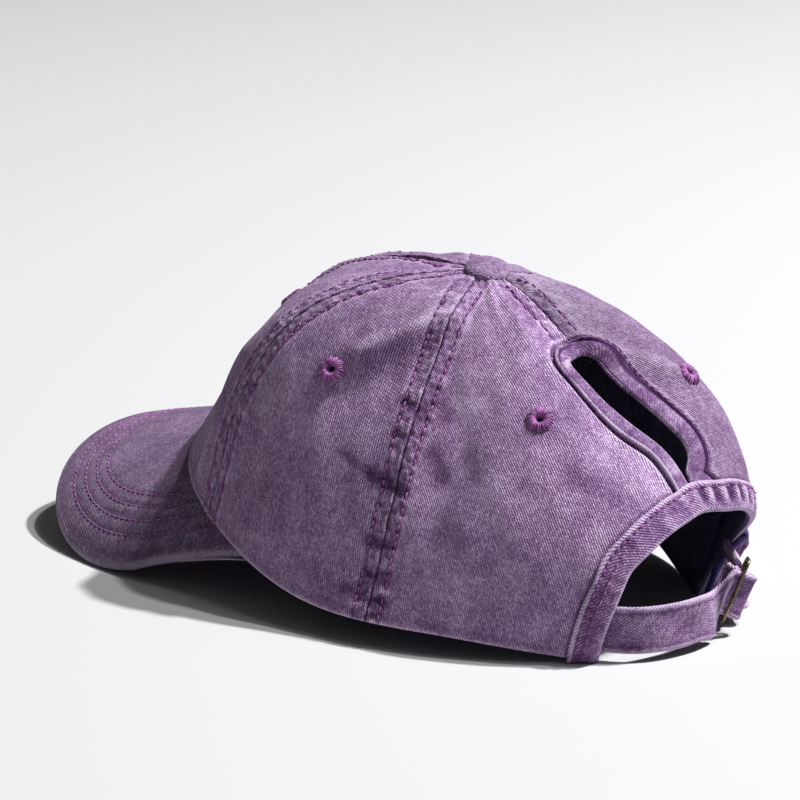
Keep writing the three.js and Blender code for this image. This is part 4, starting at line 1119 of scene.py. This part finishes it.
# Brim. The bells of a row of stitches are heights and widths: groove, ripple, dark line and the ripple's
# shade. The dark line is painted shade in the groove, and the ripple's shade is painted shade and
# highlight that follow the ripple
brimForm = {
    "halfWidth": 78.2, "reach": 162.0, "squareness": 0.85, "shoulder": 80.2, "slope": 0.246, "archHalf": 80.0,
    "archRise": 47.9, "frontHeight": 42.4, "board": 3.2, "inset": 3.2, "sewnTurn": 73.0, "clearance": 0.5,
    "rows": 70, "columns": 190, "edgeSteps": (0.0, 0.12, 0.35, 0.7, 1.15, 1.7, 2.4),
    "stitch": {"radius": 0.25, "rise": 0.14, "sink": 0.34, "pitch": 3.1, "length": 2.8},
    "stitchRows": (7.5, 11.5, 15.5, 19.5), "rowBells": ((-0.25, 0.7), (0.10, 2.0), (-0.35, 0.8), (0.3, 2.2)),
    "edgeShades": ((1.1, 0.4, 1.0), (-0.4, 3.0, 1.2)), "stitchSpots": 420, "offRow": 1.2, "offCrown": 0.5,
}


def signedPower(value, power):
    # the power of the size, with the sign of the value
    return np.sign(value) * np.abs(value) ** power


def brimTop(x, y):
    # an arch across the brim, as a circle through its middle and sides, sloping down to the front
    form = brimForm
    bend = (form["archHalf"] ** 2 + form["archRise"] ** 2) / (2 * form["archRise"])
    drop = bend - np.sqrt(bend ** 2 - x ** 2)
    return form["frontHeight"] + form["slope"] * (y + crownShape["halfLength"]) - drop


def brimFace(across, forward):
    # from a line just inside the crown's front edge out to the outline, a squared half oval: its sine and
    # cosine are raised to a power. Near the crown the face is drawn to the height of the crown's edge
    form, halfLength = brimForm, crownShape["halfLength"]
    angle = across * np.pi / 2
    wide = signedPower(np.sin(angle), form["squareness"])
    deep = signedPower(np.cos(angle), form["squareness"])
    sewn = np.arcsin(np.sin(np.radians(form["sewnTurn"])) * wide)
    crownEdge = np.stack([crownShape["halfWidth"] * np.sin(sewn), -halfLength * np.cos(sewn)], -1)
    start = (1 - form["inset"] / halfLength) * crownEdge
    depth = -form["shoulder"] - (form["reach"] - form["shoulder"]) * deep
    place = start + (np.stack([form["halfWidth"] * wide, depth], -1) - start) * forward[..., None]
    rim = meridianAt["rim"](np.degrees(sewn)) - form["clearance"]
    fit = (rim - brimTop(start[..., 0], start[..., 1])) * (1 - forward) ** 2
    return np.concatenate([place, (brimTop(place[..., 0], place[..., 1]) + fit)[..., None]], -1)


def brimGrid():
    # places across are even along the outline, with close ones at both sides, and places forward are even,
    # with close ones at the outline. Normals are cross products of a small step across and one forward
    form = brimForm
    fine = np.linspace(-1, 1, 2001)
    length = runLength(brimFace(fine, np.ones(2001)))
    steps = np.array(form["edgeSteps"])
    evenly = np.linspace(steps[-1], length[-1] - steps[-1], form["columns"] - 2 * len(steps) + 2)[1:-1]
    across = np.interp(np.concatenate([steps, evenly, length[-1] - steps[::-1]]), length, fine)
    forward = np.linspace(0, 1, form["rows"])
    reach = form["reach"] - crownShape["halfLength"] + form["inset"]
    forward = np.unique(np.concatenate([forward[forward < 1 - steps[-1] / reach], 1 - steps / reach]))
    forward, across = np.meshgrid(forward, across, indexing="ij")
    step = 0.002
    further, wider = np.minimum(forward + step, 1), np.minimum(across + step, 1)
    ahead = brimFace(across, further) - brimFace(across, further - 2 * step)
    beside = brimFace(wider, forward) - brimFace(wider - 2 * step, forward)
    up = unit(np.cross(beside, ahead))
    return brimFace(across, forward), np.where(up[..., 2:] < 0, -up, up)


brimFaceGrid, brimUp = brimGrid()
sideLeft, front, sideRight = brimFaceGrid[:, 0], brimFaceGrid[-1, 1:-1], brimFaceGrid[::-1, -1]
brimOutline = np.concatenate([sideLeft, front, sideRight])


def brimPart():
    # two faces stand off the board's middle by half its thickness, which falls in a quarter circle at the
    # outline. Each row of stitches has a groove and ripples
    form = brimForm
    distance = pathDistance(brimFaceGrid * (1, 1, 0), brimOutline * (1, 1, 0))
    half = form["board"] / 2
    thick = half * np.sqrt(1 - (1 - np.clip(distance / half, 0.02, 1)) ** 2)
    middle = brimFaceGrid - brimUp * half
    across = runLength(brimFaceGrid)
    relief, tone = np.zeros(distance.shape), bells(distance, *form["edgeShades"])
    for k, row in enumerate(form["stitchRows"]):
        ripple = seamPucker(across, 1.1 + k)
        groove, wave, dark, shade = [size * bump(distance, row, width) for size, width in form["rowBells"]]
        relief = relief + groove + ripple * wave
        # painted shade in each groove and in the ripple's troughs, painted highlight on its crests
        tone = tone + dark + ripple * shade
    top = middle + brimUp * (thick + relief)[..., None]
    under = middle - brimUp * (thick + 0.5 * relief)[..., None]
    return wallPart(top, under, brimFaceGrid[..., :2], tone), top, distance


brimWall, brimTopGrid, brimDistance = brimPart()
makePiece("brim_cloth", [brimWall], [brimTwill], ["brim"])


def brimStitches():
    # the outline in plan moved inwards by each row's distance, and laid on the planes of the nearest places
    # of the brim's top. Places that lie in the crown or too far from the row are left out
    form = brimForm
    outline = splineThrough(brimOutline[::3], form["stitchSpots"])[:, :2]
    tangent = unit(np.gradient(outline, axis=0))
    inward = np.stack([tangent[:, 1], -tangent[:, 0]], -1)
    middle = brimFaceGrid[:, :, :2].reshape(-1, 2).mean(0)
    if ((middle - outline) * inward).sum() < 0:
        inward = -inward
    flat, distances, ups = brimTopGrid.reshape(-1, 3), brimDistance.reshape(-1), brimUp.reshape(-1, 3)
    parts = []
    for k, row in enumerate(form["stitchRows"]):
        plan = outline + inward * row
        nearest = np.array([((flat[:, :2] - p) ** 2).sum(-1).argmin() for p in plan])
        crownDepth = np.sqrt(np.clip(1 - (plan[:, 0] / crownShape["halfWidth"]) ** 2, 0, 1))
        inside = np.abs(distances[nearest] - row) < form["offRow"]
        inside &= plan[:, 1] < -crownDepth * crownShape["halfLength"] - form["offCrown"]
        up, base = ups[nearest], flat[nearest]
        height = base[:, 2] - ((plan - base[:, :2]) * up[:, :2]).sum(-1) / up[:, 2]
        line = np.concatenate([plan, height[:, None]], -1)[inside]
        parts.append(stitchPart(line, up[inside], form["stitch"], start=0.7 * k))
    return parts


makePiece("brim_stitching", brimStitches(), [seamThread])
print("brim made")

# Sweatband, with its indigo edge that shows in the arch
bandForm = {
    "wall": 0.9, "gap": 0.8, "low": 0.03, "high": 0.165, "fromTurn": 220, "toTurn": 505, "rows": 14,
    "columns": 260,
    "edge": ((204.2, 0.1405), (207.4, 0.1213), (210.5, 0.1014), (213.8, 0.0836), (215.1, 0.0611),
             (214.8, 0.0434), (212.6, 0.0187), (212.2, 0.004)),
    "edgeRadius": 1.1, "edgeLift": -0.2, "edgeTaper": 0.06,
}


def sweatbandParts():
    # a band inside the crown from one end of the arch round the front to the other, and the indigo tape's
    # edge, a tube along a path on the crown whose radius shrinks at both ends
    form = bandForm
    climb = np.linspace(form["low"], form["high"], form["rows"])[:, None]
    turn = np.linspace(form["fromTurn"], form["toTurn"], form["columns"])
    turn, climb = np.broadcast_arrays(turn, climb)
    lift = -(crownShape["wall"] + form["gap"])
    outer, inner = crownPoint(turn, climb, lift), crownPoint(turn, climb, lift - form["wall"])
    uv = np.stack([runLength(outer), runLength(outer.swapaxes(0, 1)).swapaxes(0, 1)], -1)
    band = wallPart(outer, inner, uv, np.zeros(turn.shape))
    path = splineThrough(np.array(form["edge"]) * edgeScale, 90) / edgeScale
    line = crownPoint(path[:, 0], path[:, 1], form["edgeLift"])
    out = crownSlopes(path[:, 0], path[:, 1])[2]
    share = np.linspace(0, 1, len(line))
    taper = np.sqrt(np.clip(np.minimum(share, 1 - share) / form["edgeTaper"], 0.1, 1))
    edge = tubePart(line, form["edgeRadius"] * taper, 10, across=out, slot=1)
    edge["uv"] = edge["uv"] * (1, form["edgeRadius"])
    return [band, edge]


makePiece("sweatband_cloth", sweatbandParts(), [insideCloth, indigoTape], ["sweatband"])
print("sweatband made")

# Strap and buckle. The plan is of the strap outside the buckle, and weave and hook are its ways through it,
# as distances along and out of the buckle
strapForm = {
    "wall": 1.2, "low": 2.4, "high": 17.8, "inBuckleLow": -8.6, "inBuckleHigh": 6.8, "rows": 30, "steps": 170,
    "hemThick": 0.45, "hemFades": (1.4, 2.1), "roundOver": 0.8,
    "plan": ((45.4, 79.8), (42, 83.2), (37.6, 87.8), (33.8, 95.2), (28.8, 101.6), (21.4, 105.6),
             (12.5, 107.6), (3.5, 107.8), (-3, 106.2)),
    "weave": ((-7.2, -3.3), (-4.6, -2.5), (-3.2, -0.6), (-2.6, 1.6), (-1.6, 3.6), (0.2, 4.4), (2.0, 3.4),
              (2.6, 1.0), (2.9, -1.8), (4.4, -3.8), (8.5, -4.1)),
    "hook": ((9.0, -1.2), (7.6, -1.75), (5.6, -1.8), (4.4, -1.3), (3.8, 0), (4.4, 1.3), (5.6, 1.8),
             (7.6, 1.6)),
    "tabLow": ((-24, 102, 5.5), (-27, 99.4, 6), (-30, 96.8, 6.5), (-33.5, 93.6, 7), (-38, 89.6, 7.2),
               (-42, 85.4, 7.4), (-45.5, 81.2, 7.6)),
    "tabHigh": ((-22.8, 99.3, 21.6), (-25.2, 96, 22.2), (-27.6, 92.6, 22.6), (-30.4, 88.8, 22.6),
                (-34.8, 85, 22.2), (-39.4, 81.6, 21.4), (-44, 78, 20.6)),
    "tabPleated": (0.7, 1, 1, 1, 0.8, 0.5, 0.2), "pleats": 3, "pleatDepth": 1.0,
    "edgeShades": ((1.2, 0.1, 0.8), (-0.7, 2.1, 0.5), (0.55, 1.4, 0.5)), "slackShade": 0.8,
    "pleatShade": 0.7, "pleatSwing": 1.1, "stitch": {"radius": 0.17, "rise": 0.06}, "stitchRow": 4,
    "stitchesTo": 0.72,
}
buckleForm = {
    "middle": (-14.6, 105.2, 14.3), "up": (-0.368, 0.199, 0.908), "along": (-0.743, -0.641, -0.161),
    "height": 22.6, "bar": 1.3, "nearBar": -4.6, "farBar": 5.6, "rounding": 1.8, "depth": 1.1,
    "sides": 12, "squareness": 0.8, "middleRadius": 0.6, "middleFlat": 0.85,
}
buckleUp, buckleAlong = unit(np.array(buckleForm["up"])), unit(np.array(buckleForm["along"]))
buckleOut = unit(np.cross(buckleAlong, buckleUp))


def inBuckle(along, out, up):
    # a point in the buckle's own directions
    along, out, up = (np.asarray(v, float)[..., None] for v in np.broadcast_arrays(along, out, up))
    return np.array(buckleForm["middle"]) + along * buckleAlong + out * buckleOut + up * buckleUp


def bandPart(low, high, pleated):
    # a band between a low and a high line: its two faces stand off the sheet between them by half the
    # thickness, which is more in the hems and falls in a quarter circle at the edges. Pleats and slack wave
    # it
    form = strapForm
    spots = np.linspace(0, 1, form["steps"])
    low, high = splineThrough(low, spots=spots), splineThrough(high, spots=spots)
    share = np.linspace(0, 1, form["rows"])[:, None]
    width = np.linalg.norm(high - low, axis=-1)[None]
    sheet = low[None] + (high - low)[None] * share[..., None]
    out = unit(np.cross(np.gradient((low + high) / 2, axis=0), high - low))[None]
    edge = np.minimum(share, 1 - share) * width
    thick = form["wall"] / 2 + form["hemThick"] / 2 * (1 - smoothStep(*form["hemFades"], edge))
    thick = thick * np.sqrt(np.clip(1 - (1 - np.clip(edge / form["roundOver"], 0, 1)) ** 2, 0.03, 1))
    along = runLength((low + high) / 2)[None]
    pleats = np.cos(2 * np.pi * form["pleats"] * share)
    slack = 0.25 * np.sin(along / 5.1 + 4 * share) + 0.14 * np.sin(along / 2.3 - 7 * share + 1)
    wave = pleated[None] * form["pleatDepth"] * pleats + slack * np.sin(np.pi * share)
    front, rear = sheet + out * (wave + thick)[..., None], sheet + out * (wave - thick)[..., None]
    # painted shade at the step where the hem ends, a pale hem and edge that are painted highlight and wear,
    # and painted shade and highlight that follow the slack
    tone = bells(edge, *form["edgeShades"]) + form["slackShade"] * slack
    # painted light on the pleated tab, lighter as a whole and on the crests of its pleats
    tone = tone + pleated[None] * (form["pleatShade"] + form["pleatSwing"] * pleats)
    uv = np.stack([np.broadcast_to(along, tone.shape), share * width], -1)
    return wallPart(front, rear, uv, tone), front


def longArm():
    # its low and high lines: the plan at their heights, then the weave at their heights in the buckle
    plan, weave = np.array(strapForm["plan"]), np.array(strapForm["weave"])
    ends = []
    for level, inside in (("low", "inBuckleLow"), ("high", "inBuckleHigh")):
        outside = np.concatenate([plan, np.full((len(plan), 1), strapForm[level])], -1)
        ends.append(np.concatenate([outside, inBuckle(weave[:, 0], weave[:, 1], strapForm[inside])]))
    return bandPart(ends[0], ends[1], np.zeros(strapForm["steps"]))


def shortArm():
    # its low and high lines: the hook at their heights in the buckle, then the tab, on which it is pleated
    hook = np.array(strapForm["hook"])
    ends = []
    for outside, inside in (("tabLow", "inBuckleLow"), ("tabHigh", "inBuckleHigh")):
        ends.append(np.concatenate([inBuckle(hook[:, 0], hook[:, 1], strapForm[inside]), strapForm[outside]]))
    length = runLength((ends[0] + ends[1]) / 2)
    pleated = np.concatenate([np.zeros(len(hook)), strapForm["tabPleated"]])
    even = np.linspace(0, length[-1], strapForm["steps"])
    return bandPart(ends[0], ends[1], np.interp(even, length, pleated))


longStrap, longFace = longArm()
shortStrap, shortFace = shortArm()
longCloth = makePiece("strap_long_cloth", [longStrap], [strapTwill], ["strap_long_arm"])
shortCloth = makePiece("strap_short_cloth", [shortStrap], [strapTwill], ["strap_short_arm"])
arms = ((longCloth, longFace, "back_left_panel"), (shortCloth, shortFace, "back_right_panel"))
for cloth, face, panel in arms:
    width = np.linalg.norm(face[-1] - face[0], axis=-1).max()
    declareSheet(cloth, width, runLength(face[len(face) // 2])[-1], "folded", ["strap_buckle", panel])


def buckleParts():
    # rods with a squared round section along a rectangle with quarter circles for corners, and a middle bar
    # across it
    form = buckleForm
    half, turn = form["height"] / 2 - form["bar"] / 2, form["rounding"]
    near, far = form["nearBar"], form["farBar"]
    corner = np.linspace(0, np.pi / 2, 9)
    loop = []
    for k, (x, y) in enumerate(((far, half), (near, half), (near, -half), (far, -half))):
        centre = np.array([x - turn * np.sign(x - 0.5), y - turn * np.sign(y)])
        angle = corner + k * np.pi / 2
        loop.append(centre + turn * np.stack([np.cos(angle), np.sin(angle)], -1))
    loop = np.concatenate(loop)
    loop = np.concatenate([np.linspace(loop[i - 1], loop[i], 6)[1:] for i in range(len(loop))])
    rod = {"sides": form["sides"], "across": buckleOut, "power": form["squareness"]}
    path = inBuckle(loop[:, 0], 0, loop[:, 1])
    frameRod = tubePart(path, form["bar"] / 2, flat=form["depth"] / form["bar"], closed=True, **rod)
    up = np.linspace(-half, half, 24)
    bar = tubePart(inBuckle(0 * up, 0, up), form["middleRadius"], flat=form["middleFlat"], **rod)
    return [frameRod, bar]


# Each step of the tarnish is a level of the noise and its colour
brassLook = {
    "tarnish": ((0.35, (0.07, 0.055, 0.03, 1)), (0.65, (0.30, 0.25, 0.14, 1))), "patches": (260.0, 5.0, 0.65),
    "roughness": 0.58, "smoother": -0.3, "fine": (1500.0, 2.0), "bump": 0.25, "depth": 0.00008,
}


def brassMaterial():
    # darkened brass: patches of brown tarnish over dull gold, worn brighter and smoother where the noise is
    # high
    look = brassLook
    finish, tree, shader = newFinish("aged_brass", {"Metallic": 0.9})
    place = tree.nodes.new("ShaderNodeTexCoord").outputs["Object"]
    patches = noiseIn(tree, place, *look["patches"])
    ramp = nodeIn(tree, "ShaderNodeValToRGB", {"Fac": patches})
    for element, (level, colour) in zip(ramp.color_ramp.elements, look["tarnish"]):
        element.position, element.color = level, colour
    tree.links.new(ramp.outputs[0], shader.inputs["Base Color"])
    rough = mathIn(tree, "MULTIPLY_ADD", patches, look["smoother"], look["roughness"])
    tree.links.new(rough, shader.inputs["Roughness"])
    bumpOn(tree, shader, noiseIn(tree, place, *look["fine"]), look["bump"], look["depth"])
    return finish


agedBrass = brassMaterial()
makePiece("slide_buckle", buckleParts(), [agedBrass], ["strap_buckle"])


def strapStitches():
    # one row along each edge of the long arm, up to the buckle. The normals are turned away from the crown's
    # axis
    form = strapForm
    normals = gridNormals(longFace)
    centre = np.array([0, crownShape["topY"], 10.0])
    if (normals[:, :60] * (longFace[:, :60] - centre)).sum() < 0:
        normals = -normals
    last = int(form["stitchesTo"] * longFace.shape[1])
    rows = (form["stitchRow"], len(longFace) - 1 - form["stitchRow"])
    return [stitchPart(longFace[row, :last], normals[row, :last], form["stitch"]) for row in rows]


makePiece("strap_stitching", strapStitches(), [darkThread])
print("strap and buckle made")

# Eyelets: satin stitches of thread that climb out of the hole, over a ring and down into the cloth
eyeletForm = {
    "threads": 34, "radius": 0.27, "toneSwing": 0.6, "reachSwing": 0.06, "angleSwing": 0.04,
    "path": ((1.35, -0.9), (1.4, 0.3), (1.85, 1.15), (2.7, 1.4), (3.5, 1.0), (4.15, 0.25), (4.3, -0.4)),
    "core": ((1.3, -1.6), (1.35, 0.2), (1.9, 0.95), (2.6, 1.15), (3.4, 0.75), (3.9, 0.0), (3.9, -0.5),
             (2.2, -0.7), (2.1, -1.7)),
    "coreSpots": 22, "coreSpins": 40, "coreTone": -1.0,
}


def standOn(at, local):
    # local points (sideways, along the climb, out) put on the crown at a place
    centre = crownPoint(*at)
    alongTurn, _, out = crownSlopes(*np.array(at, float))
    side = unit(alongTurn)
    return centre + local[..., :1] * side + local[..., 1:2] * np.cross(out, side) + local[..., 2:] * out


def eyeletParts(at, seed):
    # threads at even angles, plus small swings of angle, reach and tone: each is a tube along the path, which
    # turns a little as it goes out. Under them lies a ring, the core turned round the hole, made dark as
    # painted shade in the hole and between the threads
    form = eyeletForm
    each = np.arange(form["threads"])
    angle = 2 * np.pi * each / form["threads"] + form["angleSwing"] * np.sin(5.3 * each ** 2 + seed)
    reach = 1 + form["reachSwing"] * np.sin(7.1 * each ** 2 + 2 * seed)
    shades = form["toneSwing"] * np.sin(3.7 * each ** 2 + seed)
    path = splineThrough(form["path"], 9)
    parts = []
    for a, r, shade in zip(angle, reach, shades):
        spin = a + 0.1 * path[:, 0] / 4
        line = np.stack([np.cos(spin) * path[:, 0], np.sin(spin) * path[:, 0], path[:, 1]], -1)
        line[:, :2] *= 1 + (r - 1) * smoothStep(2, 4, path[:, 0])[:, None]
        across = np.array([-np.sin(a), np.cos(a), 0.0])
        parts.append(tubePart(line, form["radius"], 5, across=across, tone=shade))
    core = splineThrough(form["core"], form["coreSpots"])
    ring = turnedGrid(core[:, 0], core[:, 1], form["coreSpins"])
    number = np.arange(ring[..., 0].size).reshape(ring.shape[:2])
    nextRound, nextOn = np.roll(number, -1, 0), np.roll(number, -1, 1)
    quads = np.stack([number, nextRound, np.roll(nextRound, -1, 1), nextOn], -1).reshape(-1, 4)
    parts.append({
        "points": ring.reshape(-1, 3), "faces": [quads], "slots": 0, "uv": ring[..., :2].reshape(-1, 2),
        "tone": np.full(number.size, form["coreTone"])})
    for part in parts:
        part["points"] = standOn(at, part["points"])
    return parts


for index, name in enumerate(crownShape["panelNames"]):
    parts = eyeletParts(eyeletPlaces[index], 1.0 + index)
    makePiece(name + "_satin_eyelet", parts, [embroideryThread], [name + "_eyelet"])
print("eyelets made")

# Button: cloth drawn over a dome, with small folds tucked under its edge. Its underside is given as shares of
# the radius and heights
buttonForm = {
    "radius": 7.7, "height": 4.5, "edge": 1.1, "stem": 2.4, "folds": 24, "foldDepth": 0.12, "foldShade": 0.45,
    "under": ((0.985, 0.55), (0.93, 0.1), (0.8, -0.1), (0.5, -0.1)), "underShade": (-0.5, 0.3, 0.5),
    "tone": 0.15, "leanTurn": 142.0, "lean": 17.0, "sink": 1.6, "spins": 96,
}


def buttonPart():
    # an outline of radius and height turned about the axis, its lower half waved by the folds, and its height
    # by two sines
    form, drop = buttonForm, buttonSeat["stemDrop"]
    r, h = form["radius"], form["height"]
    angle = np.linspace(0.02, np.pi / 2, 26)
    dome = np.stack([r * np.sin(angle) ** 0.9, form["edge"] + (h - form["edge"]) * np.cos(angle) ** 0.85], -1)
    stem = np.array([(form["stem"], -0.2), (form["stem"], -drop), (0.3, -drop)])
    profile = np.concatenate([dome, np.array(form["under"]) * (r, 1), stem])
    spin = np.linspace(0, 2 * np.pi, form["spins"], endpoint=False)[:, None]
    low = smoothStep(2.4, 0.8, profile[:, 1]) * (profile[:, 0] > 0.6 * r)
    wave = np.cos(form["folds"] * spin + 1.5 * np.sin(3 * spin))
    radius = profile[:, 0] - form["foldDepth"] * low * (1 + wave)
    ring = turnedGrid(radius, profile[:, 1], form["spins"])
    ring[..., 2] += 0.12 * np.sin(ring[..., 0] / 2.1 + 1) * np.sin(ring[..., 1] / 2.6)
    number = np.arange(ring.shape[0] * ring.shape[1]).reshape(ring.shape[:2])
    after = np.roll(number, -1, 0)
    quads = np.stack([number[:, :-1], number[:, 1:], after[:, 1:], after[:, :-1]], -1).reshape(-1, 4)
    points = np.concatenate([ring.reshape(-1, 3), [(0, 0, h), (0, 0, -drop)]])
    # the button leans towards a turn: its axis is tilted, and its other two directions follow it
    turn, lean = np.radians(form["leanTurn"]), np.radians(form["lean"])
    towards = np.array([np.sin(turn), -np.cos(turn), 0])
    axis = np.array([0, 0, np.cos(lean)]) + towards * np.sin(lean)
    side = unit(np.cross(axis, towards))
    points = points @ np.stack([np.cross(side, axis), side, axis])
    points = points + (0, crownShape["topY"], crownShape["topZ"] + buttonSeat["seat"] - form["sink"])
    top, foot = np.full(len(number), number.size), np.full(len(number), number.size + 1)
    caps = [np.stack([top, number[:, 0], after[:, 0]], -1), np.stack([foot, after[:, -1], number[:, -1]], -1)]
    # the under bell is painted shade beneath the dome's edge
    tone = form["foldShade"] * low * wave + bells(profile[:, 1], form["underShade"]) + form["tone"]
    return {
        "points": points, "faces": [quads, *caps], "slots": 0,
        "uv": np.concatenate([ring[..., :2].reshape(-1, 2), np.zeros((2, 2))]),
        "tone": np.concatenate([tone.reshape(-1), [0, 0]]),
    }


makePiece("covered_button", [buttonPart()], [buttonTwill], ["top_button"])
print("button made")

# Camera: stands off the target by a distance along a direction of azimuth and elevation
cameraForm = {
    "azimuth": 133.03, "elevation": 14.236, "distance": 1214.48, "target": (13.917, -15.567, 61.769),
    "lens": 163.17, "sensor": 36.0,
}


def standAt(thing, place, back, right):
    # puts an object at a place in metres: its right, its up and its back are the columns of its matrix
    matrix = np.eye(4)
    matrix[:3] = np.stack([right, np.cross(back, right), back, place], -1)
    thing.matrix_world = matrix.T.tolist()


def addCamera():
    # back is the level direction times the cosine of the elevation, and its sine upwards
    form = cameraForm
    azimuth, elevation = np.radians(form["azimuth"]), np.radians(form["elevation"])
    right = np.array([np.cos(azimuth), np.sin(azimuth), 0])
    level = np.array([np.sin(azimuth), -np.cos(azimuth), 0])
    back = level * np.cos(elevation) + (0, 0, np.sin(elevation))
    data = bpy.data.cameras.new("camera")
    data.lens, data.sensor_width = form["lens"], form["sensor"]
    data.clip_start, data.clip_end = 0.05, 50
    camera = inScene("camera", data)
    standAt(camera, (np.array(form["target"]) + modelToFrame + back * form["distance"]) * mm, back, right)
    bpy.context.scene.camera = camera


# Lights: azimuth and elevation in degrees, distance and size in metres, and watts
lights = {
    "key": (143, 56, 3.4, 0.16, 180), "second": (136, 63, 3.4, 0.16, 56), "fill": (105, 60, 3.0, 0.8, 9),
}
stageForm = {"litHeight": 0.05, "reach": 6.0, "floor": (0.50, 0.50, 0.51, 1), "world": 0.08}


def lightFrom(name, azimuth, elevation, distance, size, watts):
    # a round softbox at a distance, turned to the middle of the cap
    azimuth, elevation = np.radians(azimuth), np.radians(elevation)
    level = np.array([np.cos(azimuth), np.sin(azimuth), 0])
    back = level * np.cos(elevation) + (0, 0, np.sin(elevation))
    data = bpy.data.lights.new(name, "AREA")
    data.shape, data.size, data.energy = "DISK", size, watts
    place = (0, 0, stageForm["litHeight"]) + back * distance
    standAt(inScene(name, data), place, back, unit(np.cross([0, 0, 1], back)))


def addFloor():
    # one square at height 0
    size = stageForm["reach"]
    data = bpy.data.meshes.new("floor")
    corners = [(-size, -size, 0), (size, -size, 0), (size, size, 0), (-size, size, 0)]
    data.from_pydata(corners, [], [(0, 1, 2, 3)])
    floor = inScene("floor", data)
    levels = {"Base Color": stageForm["floor"], "Roughness": 0.8, "Specular IOR Level": 0.2}
    data.materials.append(newFinish("pale_floor", levels)[0])


addCamera()
for name, form in lights.items():
    lightFrom(name, *form)
addFloor()
world = bpy.data.worlds.new("studio")
world.use_nodes = True
world.node_tree.nodes["Background"].inputs[0].default_value = (1, 1, 1, 1)
world.node_tree.nodes["Background"].inputs[1].default_value = stageForm["world"]
bpy.context.scene.world = world
bpy.context.scene.view_settings.view_transform = "Standard"
print("stage set")
